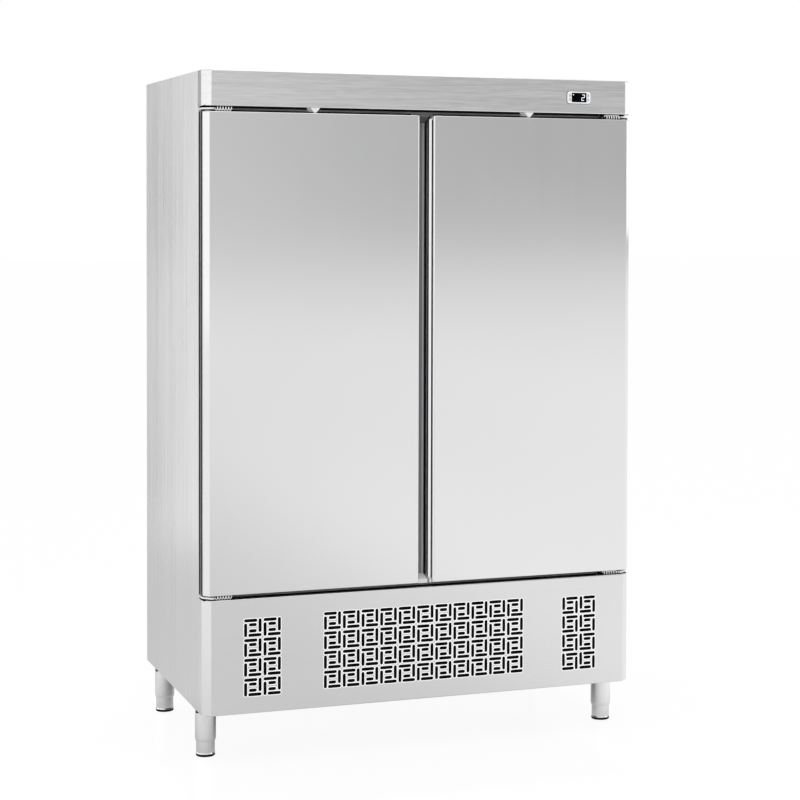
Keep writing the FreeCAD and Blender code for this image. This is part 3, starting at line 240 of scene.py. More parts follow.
def new_lathe(name, section, place, steps, axis=Z_AXIS):
    """Closed section of (radius, reach) points turned about an axis through a place."""
    on_axis = 1e-7
    clear()
    bpy.ops.mesh.primitive_circle_add(vertices=len(section), fill_type="NOTHING")
    piece = named(name)
    place, axis = Vector(place), Vector(axis)
    outward = axis.orthogonal().normalized()
    for vertex, (radius, reach) in zip(piece.data.vertices, section):
        vertex.co = place + outward * radius + axis * reach
    choose(piece, "EDGE", lambda edge: all(((v.co - place) - axis * (v.co - place).dot(axis)).length < on_axis
                                           for v in edge.verts))
    bpy.ops.mesh.delete(type="EDGE")
    bpy.ops.mesh.select_all(action="SELECT")
    bpy.ops.mesh.spin(steps=steps, angle=2 * pi, center=place, axis=axis)
    bpy.ops.mesh.select_all(action="SELECT")
    bpy.ops.mesh.remove_doubles(threshold=SAME / 10)
    bpy.ops.mesh.normals_make_consistent(inside=False)
    bpy.ops.object.mode_set(mode="OBJECT")
    return piece


def new_tube(name, points, radius, closed=False, sides=3):
    """Round wire along a path of points."""
    seed = 0.001
    clear()
    points = [Vector(point) for point in points]
    bpy.ops.mesh.primitive_plane_add(size=seed, location=points[0])
    piece = named(name)
    bpy.ops.object.mode_set(mode="EDIT")
    bpy.ops.mesh.select_mode(type="VERT")
    bpy.ops.mesh.select_all(action="SELECT")
    bpy.ops.mesh.merge(type="CENTER")
    for here, there in zip(points, points[1:]):
        bpy.ops.mesh.extrude_region_move(TRANSFORM_OT_translate={"value": there - here})
    if closed:
        choose(piece, "VERT", lambda v: min((v.co - points[0]).length, (v.co - points[-1]).length) < SAME)
        bpy.ops.mesh.edge_face_add()
    bpy.ops.object.mode_set(mode="OBJECT")
    take(piece)
    bpy.ops.object.convert(target="CURVE")
    piece = bpy.context.active_object
    piece.data.bevel_depth = radius
    piece.data.bevel_resolution = sides
    piece.data.use_fill_caps = not closed
    bpy.ops.object.convert(target="MESH")
    piece = bpy.context.active_object
    piece.name = name
    return piece


def choose(piece, kind, test):
    """Enter edit mode with the vertices, edges or faces selected that pass a test."""
    take(piece)
    bpy.ops.object.mode_set(mode="EDIT")
    bpy.ops.mesh.select_mode(type=kind)
    bpy.ops.mesh.select_all(action="DESELECT")
    mesh = bmesh.from_edit_mesh(piece.data)
    parts = {"VERT": mesh.verts, "EDGE": mesh.edges, "FACE": mesh.faces}[kind]
    for part in parts:
        if test(part):
            part.select_set(True)
    bmesh.update_edit_mesh(piece.data)


def centre_of(face):
    """Centre of a face."""
    return face.calc_center_median()


def middle(edge):
    """Middle of an edge."""
    return (edge.verts[0].co + edge.verts[1].co) / 2


def reach_of(edge, axis):
    """How far an edge reaches along an axis."""
    return abs(edge.verts[0].co["xyz".index(axis)] - edge.verts[1].co["xyz".index(axis)])


def facing(axis, sign=1):
    """Test for faces that look along an axis, or against it."""
    return lambda face: face.normal["xyz".index(axis)] * sign > SQUARE


def level_edge(edge):
    """True for a level edge of a front: the upper and lower ones."""
    front_depth = 0.025
    return reach_of(edge, "z") < SAME and middle(edge).y < at_depth(front_depth)


def back_edge(edge):
    """True for an edge of a flat piece that runs straight back."""
    shortest = 0.0008
    return reach_of(edge, "y") > shortest


def is_sharp(edge, angle):
    """True for an edge where two faces meet at more than an angle."""
    return edge.is_manifold and edge.calc_face_angle(0) > angle


def delete():
    """Delete the selected faces and leave edit mode."""
    bpy.ops.mesh.delete(type="FACE")
    bpy.ops.object.mode_set(mode="OBJECT")


def remove_faces(piece, test):
    """Delete the faces that pass a test."""
    choose(piece, "FACE", test)
    delete()


def inset(thickness, depth=0.0):
    """Inset the selected faces evenly."""
    bpy.ops.mesh.inset(thickness=thickness, depth=depth, use_even_offset=True)


def round_edges(piece, width, segments=2, angle=radians(30), test=None):
    """Round the sharp edges of a piece, or those that also pass a test."""
    choose(piece, "EDGE", lambda edge: is_sharp(edge, angle) and (test is None or test(edge)))
    bpy.ops.mesh.bevel(offset=width, segments=segments, affect="EDGES", profile=0.5)
    bpy.ops.object.mode_set(mode="OBJECT")


def shape(piece, kind, **values):
    """Add a modifier and apply it."""
    take(piece)
    modifier = piece.modifiers.new(kind.lower(), kind)
    for key, value in values.items():
        setattr(modifier, key, value)
    bpy.ops.object.modifier_apply(modifier=modifier.name)
    return piece


def cut(piece, cutter, operation="DIFFERENCE"):
    """Cut one shape out of a piece, and remove the cutter."""
    shape(piece, "BOOLEAN", operation=operation, solver="EXACT", object=cutter)
    bpy.data.objects.remove(cutter)
    return piece


def fuse(piece, other):
    """Fuse a shape on to a piece, and remove the shape."""
    return cut(piece, other, "UNION")


def folded_sheet(piece, thickness):
    """Give open faces the thickness of a sheet, inwards."""
    return shape(piece, "SOLIDIFY", thickness=thickness, offset=-1, use_even_offset=True)


def repeat(piece, count, step):
    """Row of copies of a piece at a constant step."""
    return shape(piece, "ARRAY", count=count, use_relative_offset=False, use_constant_offset=True,
                 constant_offset_displace=step)


def mirrored(section, side):
    """Section of (reach, depth) points, put on one side of the cabinet."""
    return [(side * reach, depth) for reach, depth in section]


def joined(name, pieces):
    """Join several shapes in one piece."""
    take(pieces[0])
    for piece in pieces[1:]:
        piece.select_set(True)
    bpy.ops.object.join()
    piece = bpy.context.active_object
    piece.name = name
    piece.data.name = name
    return piece


def moved_copy(piece, name, shift=(0, 0, 0), turn=None):
    """Copy of a piece with its own mesh, turned about the origin and then shifted."""
    copy = piece.copy()
    copy.data = piece.data.copy()
    copy.name = name
    copy.data.name = name
    bpy.context.scene.collection.objects.link(copy)
    if turn is not None:
        copy.data.transform(turn)
    copy.data.transform(Matrix.Translation(Vector(shift)))
    return copy


def complete(piece, body, look, stands_for=()):
    """Clean a piece, shade it, give it its finish and let it ride on a body."""
    smooth = radians(35)
    take(piece)
    bpy.ops.object.transform_apply(location=True, rotation=True, scale=True)
    bpy.ops.object.mode_set(mode="EDIT")
    bpy.ops.mesh.select_all(action="SELECT")
    bpy.ops.mesh.remove_doubles(threshold=SAME / 5)
    bpy.ops.object.mode_set(mode="OBJECT")
    bpy.ops.object.shade_smooth_by_angle(angle=smooth)
    shape(piece, "WEIGHTED_NORMAL", keep_sharp=True)
    piece.data.materials.clear()
    piece.data.materials.append(finish(look))
    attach(piece, body)
    if stands_for:
        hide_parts(*stands_for)
    return piece


# Finishes


def linked(tree, kind, inputs=None, **values):
    """Add a node, set its values and link its inputs."""
    made = tree.nodes.new("ShaderNode" + kind)
    for key, value in values.items():
        setattr(made, key, value)
    for key, value in (inputs or {}).items():
        if isinstance(value, bpy.types.NodeSocket):
            tree.links.new(value, made.inputs[key])
        else:
            made.inputs[key].default_value = value
    return made


def pattern(tree, stretch=(1, 1, 1), scale=1.0, detail=3.0, kind="TexNoise"):
    """Noise in the object's own coordinates, stretched along each axis."""
    place = linked(tree, "TexCoord")
    mapped = linked(tree, "Mapping", {"Vector": place.outputs["Object"], "Scale": stretch})
    inputs = {"Vector": mapped.outputs["Vector"], "Scale": scale}
    if kind == "TexNoise":
        inputs["Detail"] = detail
    return linked(tree, kind, inputs).outputs[0]


def spread(tree, value, low, high, start=0.3, end=0.7):
    """Rescale a pattern between two levels."""
    return linked(tree, "MapRange", {"Value": value, "From Min": start, "From Max": end,
                                     "To Min": low, "To Max": high}).outputs["Result"]


def blended(tree, value, dark, light):
    """Colour between two colours."""
    ramp = linked(tree, "ValToRGB", {"Fac": value})
    ramp.color_ramp.elements[0].color = (*dark, 1)
    ramp.color_ramp.elements[1].color = (*light, 1)
    return ramp.outputs["Color"]


def mixed(tree, kind, one, two):
    """Arithmetic on two values."""
    return linked(tree, "Math", {0: one, 1: two}, operation=kind).outputs[0]


def shaded(colour, share):
    """Colour made darker or lighter."""
    return tuple(min(1.0, part * share) for part in colour)


def new_finish(name, metallic):
    """Material, its node tree and its principled shader."""
    material = bpy.data.materials.new(name)
    material.use_nodes = True
    tree = material.node_tree
    shader = tree.nodes["Principled BSDF"]
    shader.inputs["Metallic"].default_value = metallic
    return material, tree, shader


def dressed(tree, shader, colour, roughness, height, relief, distance):
    """Link the patterns of a finish to its shader: colour, roughness and relief."""
    tree.links.new(colour, shader.inputs["Base Color"])
    tree.links.new(roughness, shader.inputs["Roughness"])
    bump = linked(tree, "Bump", {"Strength": relief, "Distance": distance, "Height": height})
    tree.links.new(bump.outputs["Normal"], shader.inputs["Normal"])


def brushed(name, colour, along, shade=1.0, roughness=0.25, contrast=0.03, relief=0.1, anisotropic=0.0,
            turn=0.0, streak=1.0, metallic=1.0, vary=0.15):
    """Brushed metal with grain along an axis: fine lines, longer streaks and faint clouding."""
    material, tree, shader = new_finish(name, metallic)
    colour = shaded(colour, shade)
    usual_low, usual_high, cloudy = 0.36, 0.64, 0.012

    def grain(across, length, detail, weight):
        stretch = tuple(length if axis == along else across for axis in "XYZ")
        return mixed(tree, "MULTIPLY", pattern(tree, stretch, detail=detail), weight)

    fine = grain(900, 4 * streak, 2, 0.35)
    streaks = grain(240, 1.6 * streak, 3, 0.4)
    broad = grain(45, 0.6 * streak, 2, 0.25)
    clouds = pattern(tree, (1.6, 1.6, 1.6), detail=2)
    lines = mixed(tree, "ADD", fine, mixed(tree, "ADD", streaks, broad))
    tint = spread(tree, lines, 0.0, 1.0, usual_low, usual_high)
    rough = mixed(tree, "ADD", spread(tree, lines, roughness * (1 - vary), roughness * (1 + vary),
                                      usual_low, usual_high), spread(tree, clouds, -cloudy, cloudy))
    dressed(tree, shader, blended(tree, tint, shaded(colour, 1 - contrast), shaded(colour, 1 + contrast)),
            rough, lines, relief, 0.0002)
    shader.inputs["Anisotropic"].default_value = anisotropic
    shader.inputs["Anisotropic Rotation"].default_value = turn
    return material


def speckled(name, colour, metallic=0.0, roughness=0.5, contrast=0.06, size=900.0, relief=0.15,
             specular=0.5, glow=0.0):
    """Moulded plastic, rubber or enamel: fine even texture with faint clouding, and a painted glow where one
    is given.
    """
    material, tree, shader = new_finish(name, metallic)
    usual_low, usual_high, vary = 0.38, 0.62, 0.12
    fine = pattern(tree, scale=size, detail=4)
    clouds = pattern(tree, scale=7.0, detail=3)
    both = mixed(tree, "ADD", mixed(tree, "MULTIPLY", fine, 0.5), mixed(tree, "MULTIPLY", clouds, 0.5))
    tint = spread(tree, both, 0.0, 1.0, usual_low, usual_high)
    rough = spread(tree, both, roughness * (1 - vary), roughness * (1 + vary), usual_low, usual_high)
    dressed(tree, shader, blended(tree, tint, shaded(colour, 1 - contrast), shaded(colour, 1 + contrast)),
            rough, fine, relief, 0.0001)
    shader.inputs["Specular IOR Level"].default_value = specular
    # Emission at the part's own colour: painted light that makes a part brighter than the lamps leave it
    shader.inputs["Emission Color"].default_value = (*colour, 1)
    shader.inputs["Emission Strength"].default_value = glow
    return material


def spangled(name, colour):
    """Galvanised sheet: zinc spangles with their own shade and sheen."""
    material, tree, shader = new_finish(name, 1.0)
    place = linked(tree, "TexCoord").outputs["Object"]
    warp = linked(tree, "TexNoise", {"Vector": place, "Scale": 40.0, "Detail": 2.0})
    shift = linked(tree, "Mix", {0: 0.02, 4: place, 5: warp.outputs["Color"]}, data_type="VECTOR")
    cells = linked(tree, "TexVoronoi", {"Vector": shift.outputs[1], "Scale": 95.0})
    level = linked(tree, "SeparateColor", {"Color": cells.outputs["Color"]}).outputs[0]
    dressed(tree, shader, blended(tree, level, shaded(colour, 0.86), shaded(colour, 1.12)),
            spread(tree, level, 0.34, 0.5, 0, 1), level, 0.08, 0.0002)
    return material


def porous(name, colour):
    """Insulating foam: pale, matt and full of small cells."""
    material, tree, shader = new_finish(name, 0.0)
    cells = pattern(tree, scale=420.0, kind="TexVoronoi")
    clouds = pattern(tree, scale=9.0, detail=4)
    dressed(tree, shader, blended(tree, spread(tree, clouds, 0, 1), shaded(colour, 0.85), colour),
            spread(tree, clouds, 0.85, 0.95), cells, 0.6, 0.0008)
    return material


def glowing(name, colour, strength):
    """Lit segment of the display, a little uneven as the light behind it is."""
    material, tree, shader = new_finish(name, 0.0)
    shader.inputs["Base Color"].default_value = (0.02, 0.02, 0.03, 1)
    shader.inputs["Roughness"].default_value = 0.3
    glow = pattern(tree, scale=350.0, detail=2)
    tree.links.new(blended(tree, spread(tree, glow, 0, 1), shaded(colour, 0.9), colour),
                   shader.inputs["Emission Color"])
    shader.inputs["Emission Strength"].default_value = strength
    return material


# A finish's maker, its colour or the setting that holds it, and the rest by name
LOOKS = {
    "side_steel": (brushed, "steel", dict(along="Z", roughness=0.30, contrast=0.035, relief=0.07,
                                          anisotropic=0.6)),
    "front_steel": (brushed, "steel", dict(along="X", roughness=0.22, contrast=0.075, relief=0.16,
                                           anisotropic=0.5, turn=0.25, streak=6.0)),
    "lower_steel": (brushed, "steel", dict(along="X", roughness=0.24, contrast=0.02, relief=0.06,
                                           anisotropic=0.5, turn=0.25, streak=2.0)),
    "door_steel": (brushed, "door_steel", dict(along="Z", roughness=0.175, contrast=0.006, relief=0.004,
                                               anisotropic=0.7, vary=0.05)),
    "inner_steel": (brushed, "steel", dict(along="Z", shade=0.95, roughness=0.34)),
    "leg_steel": (brushed, "steel", dict(along="Z", shade=1.08, roughness=0.26, relief=0.06)),
    "wire_steel": (brushed, "steel", dict(along="Y", shade=0.95, roughness=0.22, relief=0.05)),
    "bracket_steel": (brushed, (0.95, 0.95, 0.955), dict(along="X", roughness=0.3, contrast=0.02,
                                                         relief=0.06, metallic=0.3)),
    "grip_metal": (brushed, (0.96, 0.96, 0.965), dict(along="Z", roughness=0.28, contrast=0.02,
                                                      relief=0.06, metallic=0.7)),
    "fin_metal": (brushed, (0.70, 0.71, 0.72), dict(along="Z", roughness=0.38, contrast=0.06)),
    # Black fins of the condenser coil: partly their paint, partly painted shade of the machine compartment
    "dark_fins": (brushed, (0.012, 0.012, 0.013), dict(along="Z", roughness=0.55, contrast=0.1,
                                                       metallic=0.0)),
    "galvanised": (spangled, "galvanised", {}),
    "foam": (porous, (0.80, 0.72, 0.48), {}),
    "lit_segments": (glowing, "digits", dict(strength=1.6)),
    # The slot rims' glow is painted light: a painted highlight along the pressed rims round the air slots
    "rim_metal": (speckled, (0.97, 0.97, 0.975), dict(metallic=0.1, roughness=0.3, contrast=0.015,
                                                      relief=0.05, glow=0.28)),
    # The springs' glow is painted light that brightens them in the shade of the gaps above and below the
    # doors
    "spring_zinc": (speckled, (0.95, 0.95, 0.96), dict(metallic=0.2, roughness=0.3, contrast=0.04,
                                                       glow=0.12)),
    "copper": (speckled, (0.72, 0.36, 0.20), dict(metallic=1.0, roughness=0.28, contrast=0.18, size=60.0,
                                                  relief=0.1)),
    # The dust mats' near-black is partly painted shade: it keeps the slots as dark as the shaded inside of
    # the compartment
    "filter_mat": (speckled, (0.004, 0.004, 0.004), dict(roughness=0.8, contrast=0.2, size=300.0,
                                                         relief=0.4, specular=0.05)),
    "gasket_rubber": (speckled, "gasket", dict(roughness=0.6, contrast=0.15, size=500.0, specular=0.15)),
    "pad_rubber": (speckled, (0.005, 0.005, 0.005), dict(roughness=0.7, contrast=0.2, size=420.0,
                                                         specular=0.2)),
    "dark_bolt": (speckled, (0.006, 0.006, 0.007), dict(contrast=0.1, size=600.0, specular=0.2)),
    "black_enamel": (speckled, (0.012, 0.012, 0.013), dict(roughness=0.22, contrast=0.1, size=260.0,
                                                           relief=0.25)),
    "strip_plastic": (speckled, "strip", dict(roughness=0.42, contrast=0.05, size=700.0)),
    "pan_plastic": (speckled, (0.010, 0.010, 0.011), dict(roughness=0.6, contrast=0.1, size=800.0,
                                                          specular=0.1)),
    "cap_plastic": (speckled, (0.74, 0.74, 0.745), dict(roughness=0.4, contrast=0.04, size=800.0)),
    # Grey of the top grip caps, darker than the bottom ones: painted shade for their shaded undersides
    "dark_cap": (speckled, (0.10, 0.10, 0.105), dict(roughness=0.45, size=800.0)),
    # The insert's dark grey and the bead's paler grey are partly painted shade and painted light on the
    # channel floor
    "insert_plastic": (speckled, (0.20, 0.20, 0.205), dict(roughness=0.4, contrast=0.05, size=800.0)),
    "bead_plastic": (speckled, (0.42, 0.42, 0.425), dict(roughness=0.4, contrast=0.05, size=800.0)),
    # The switch tabs' glow is painted light: it whitens the tabs in the shade of the gap under the fascia
    "tab_plastic": (speckled, (0.97, 0.97, 0.97), dict(roughness=0.4, contrast=0.01, size=800.0,
                                                       glow=0.25)),
    "housing_plastic": (speckled, (0.02, 0.02, 0.021), dict(contrast=0.1, size=700.0)),
    "fan_plastic": (speckled, (0.018, 0.018, 0.02), dict(roughness=0.4, contrast=0.1, size=600.0)),
    # The bezel's glow is painted light that lifts its white above what the lamps give
    "bezel_plastic": (speckled, "bezel", dict(roughness=0.3, contrast=0.015, size=1200.0, relief=0.05,
                                              glow=0.08)),
    "key_plastic": (speckled, (0.74, 0.75, 0.77), dict(roughness=0.35, contrast=0.02, size=1200.0,
                                                       relief=0.05)),
    "symbol_ink": (speckled, (0.3, 0.3, 0.32), dict(contrast=0.05, relief=0.05)),
    "display_window": (speckled, (0.001, 0.001, 0.003), dict(roughness=0.12, contrast=0.2, size=60.0,
                                                             relief=0.01, specular=0.03)),
    "dark_segments": (speckled, (0.006, 0.007, 0.012), dict(roughness=0.25, contrast=0.1, size=400.0,
                                                            relief=0.02, specular=0.05)),
}
CARRIED_OVER = {
    "side_steel": ("left_side_panel", "right_side_panel", "top_panel"),
    "galvanised": ("back_panel",),
    "foam": ("insulation_shell", "left_door_foam", "right_door_foam"),
    "inner_steel": ("inner_liner", "centre_mullion", "evaporator_cover", "shelf_runners", "shelf_uprights"),
    "strip_plastic": ("breaker_frame",),
    "housing_plastic": ("controller_housing", "electrical_box"),
    # Black partly as the parts' paint and partly painted shade: the tray, compressor, shroud and condenser
    # coil are dark so the compartment reads dark through the slots
    "black_enamel": ("base_tray", "compressor", "condenser_fan_shroud"),
    "dark_fins": ("condenser_coil",),
    "fin_metal": ("evaporator_coil",),
    "copper": ("refrigerant_pipes",),
    "fan_plastic": ("fan_motors",),
    "pan_plastic": ("condensate_pan",),
}
FINISHES = {}


def finish(name):
    """Material of one finish, made once."""
    if name not in FINISHES:
        maker, colour, values = LOOKS[name]
        if isinstance(colour, str):
            colour = tuple(getattr(bpy.context.scene.cabinet_colours, colour))
        FINISHES[name] = maker(name, colour, **values)
    return FINISHES[name]


# Pieces


def folded_cover(name, node, corner, top_fold=None):
    """Folded front cover over a CAD node: chamfered corners, ends folded back, one sheet thick.

    Without a fold for the top, the top stays whole.
    """
    sizes = bpy.context.scene.cabinet_sizes
    low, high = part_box(node)
    depth = high.y - FRONT
    edge = high.x
    outline = [(-edge, depth), (-edge, corner), (-edge + corner, 0), (edge - corner, 0), (edge, corner),
               (edge, depth)]
    piece = new_prism(name, outline, "Z", low.z, high.z)
    remove_faces(piece, facing("y"))
    for height, fold in ((low.z, sizes.cover_fold), (high.z, top_fold)):
        if fold is None:
            continue

        def at_end(face):
            return abs(centre_of(face).z - height) < SAME and abs(face.normal.z) > SQUARE

        choose(piece, "FACE", at_end)
        bpy.ops.mesh.bisect(plane_co=(0, at_depth(fold), 0), plane_no=Y_AXIS)
        remove_faces(piece, lambda face: at_end(face) and centre_of(face).y > at_depth(fold))
    round_edges(piece, sizes.edge_round, 4, test=level_edge)
    round_edges(piece, sizes.bend, 3)
    return folded_sheet(piece, sizes.cover_sheet)


def hinge_point(side, height):
    """Point on the axis of a door's hinges."""
    return Vector((side * (CAD_HIGH.x - HINGE_INSET), at_depth(HINGE_DEPTH), height))


def finish_seal(seal, body, bend, segments=2):
    """Round a black seal or a strip of painted shade and let it ride on a body."""
    round_edges(seal, bend, segments)
    complete(seal, body, "gasket_rubber")


def frame_seal(name, low_z, high_z):
    """Black seal in the gap between a cover and the frame strips, from hinge to hinge; its black also stands
    for the deep shade in that gap, painted shade.
    """
    bend = 0.0006
    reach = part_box("hinge_brackets")[1].x - SEAL_INSET
    seal = new_block(name, (-reach, at_depth(SEAL_FRONT), low_z), (reach, at_depth(SEAL_BACK), high_z))
    finish_seal(seal, "cabinet", bend, 3)


class CABINET_OT_fascia(bpy.types.Operator):
    """Fascia over the doors, folded from steel sheet, with the opening for the thermostat"""

    bl_idname = "cabinet.fascia"
    bl_label = "Fascia"

    def execute(self, context):
        seal_under, seal_over = 0.0035, 0.008
        piece = folded_cover("fascia", "fascia_panel", context.scene.cabinet_sizes.fascia_corner)
        low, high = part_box("controller_housing")
        cut(piece, new_block("opening", (low.x, FRONT - OVERRUN, low.z), (high.x, FRONT + OVERRUN, high.z)))
        complete(piece, "cabinet", "front_steel", ["fascia_panel"])
        fascia_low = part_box("fascia_panel")[0].z
        frame_seal("upper_seal", fascia_low - seal_under, fascia_low + seal_over)
        return {"FINISHED"}


class CABINET_OT_lower_panel(bpy.types.Operator):
    """Front panel of the machine compartment, cut with rings of air slots"""

    bl_idname = "cabinet.lower_panel"
    bl_label = "Lower panel"

    def execute(self, context):
        sizes = context.scene.cabinet_sizes
        piece = folded_cover("lower_panel", "lower_grille_panel", sizes.lower_corner, sizes.cover_fold)
        low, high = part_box("lower_grille_panel")
        grille_middle, side_inset, border, reach, slot_edge = 0.167, 0.18, 0.02, 0.07, 0.0005
        seal_start, seal_end, mat_bend = 0.014, 0.004, 0.001
        pitch, cell = sizes.slot_pitch, self.cell(sizes)
        first_z = low.z + grille_middle - (sizes.slot_rows - 1) / 2 * pitch
        side_x = high.x - side_inset
        rims, mats = [], []
        # Each group's centre, rise, number of columns and hand
        for centre, rise, columns, hand in ((-side_x, 0.001, 2, 1), (0.0012, 0.0058, 11, 1),
                                            (0.0024 + side_x, 0.0002, 2, -1)):
            first_x = centre - (columns - 1) / 2 * pitch
            places = [(first_x + hand * x, first_z + rise + z, length, upright)
                      for x, z, length, upright in cell]
            cutter, hollow = (joined("slots", [self.slot(sizes, *place) for place in places])
                              for _ in range(2))
            rim = self.rim(sizes, places, hollow)
            for part in (cutter, rim):
                repeat(part, columns, (pitch, 0, 0))
                repeat(part, sizes.slot_rows, (0, 0, pitch))
            rims.append(rim)
            cut(piece, cutter)
            mats.append(self.mat(centre, columns / 2 * pitch, first_z - pitch / 2,
                                 first_z + (sizes.slot_rows - 0.5) * pitch))
        complete(joined("slot_rims", rims), "cabinet", "rim_metal")
        dust_mats = joined("dust_mats", mats)
        round_edges(dust_mats, mat_bend)
        complete(dust_mats, "cabinet", "filter_mat")
        round_edges(piece, slot_edge, angle=radians(60), test=lambda edge: (
            abs(middle(edge).y - low.y) < SAME and abs(middle(edge).x) < side_x + reach
            and low.z + border < middle(edge).z < high.z - border))
        complete(piece, "cabinet", "lower_steel", ["lower_grille_panel"])
        frame_seal("lower_seal", high.z - seal_start, high.z - seal_end)
        return {"FINISHED"}

    def cell(self, sizes):
        """Slots of one cell, as (x, z, length, upright): a ring of four round two short ones."""
        reach = (sizes.slot_cell - sizes.slot_width) / 2
        shift = (sizes.slot_cell - sizes.slot_long) / 2
        inner = 0.0092
        return [(-shift, reach, sizes.slot_long, False), (reach, shift, sizes.slot_long, True),
                (-reach, -shift, sizes.slot_long, True), (shift, -reach, sizes.slot_long, False),
                (0, inner, sizes.slot_short, False), (0, -inner, sizes.slot_short, False)]

    def slot(self, sizes, x, z, length, upright, grow=0.0, front=-0.004, back=0.006):
        """Round-ended bar that cuts one slot, or forms the rim round it."""
        length, width = length + 2 * grow, sizes.slot_width + 2 * grow
        half = length / 2 - width / 2
        turns = 6
        outline = []
        for end, start in ((1, -pi / 2), (-1, pi / 2)):
            for step in range(turns + 1):
                turn = start + pi * step / turns
                along, across = end * half + width / 2 * cos(turn), width / 2 * sin(turn)
                outline.append((x + across, z + along) if upright else (x + along, z + across))
        return new_prism("slot", outline, "Y", front, back)

    def rim(self, sizes, places, hollow):
        """Raised rims round the slots of one cell, in one piece."""
        front, back, bend = -0.0006, 0.0002, 0.0003
        rim, *others = (self.slot(sizes, *place, sizes.slot_rim, front, back) for place in places)
        for other in others:
            fuse(rim, other)
        cut(rim, hollow)
        round_edges(rim, bend, angle=radians(60), test=lambda edge: middle(edge).y < at_depth(front + HAIR))
        return rim

    def mat(self, centre, half, low_z, high_z):
        """Near-black dust mat behind a group of slots; it also stands for the shade inside the machine
        compartment, painted shade.
        """
        front, back, margin, rise = 0.0014, 0.0065, 0.004, 0.006
        return new_block("mat", (centre - half - margin, at_depth(front), low_z - margin),
                         (centre + half + margin, at_depth(back), high_z + rise + margin))


class CABINET_OT_door_fronts(bpy.types.Operator):
    """Steel fronts of the doors, folded round the edges, open towards the grip"""

    bl_idname = "cabinet.door_fronts"
    bl_label = "Door fronts"

    def execute(self, context):
        sizes = context.scene.cabinet_sizes
        clearance = 0.0002
        for name, side in SIDES.items():
            node = name + "_door_skin"
            low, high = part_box(node)
            depth = high.y - FRONT
            inner = side * (NOSE_STARTS[name] + sizes.nose + clearance)
            edge = side * max(abs(low.x), abs(high.x))
            outline = [(inner, 0), (edge - side * sizes.door_corner, 0), (edge, sizes.door_corner),
                       (edge, depth), (inner, depth)]
            piece = new_prism(name + "_door_front", outline, "Z", low.z, high.z)
            choose(piece, "FACE", facing("y"))
            inset(sizes.hem)
            delete()
            remove_faces(piece, lambda face: centre_of(face).y > at_depth(depth) - HAIR
                         and abs(centre_of(face).x - inner) < sizes.hem)
            remove_faces(piece, facing("x", -side))
            round_edges(piece, sizes.edge_round, 4, test=level_edge)
            round_edges(piece, sizes.bend, 3)
            folded_sheet(piece, sizes.door_sheet)
            complete(piece, name + "_door", "door_steel", [node])
        return {"FINISHED"}


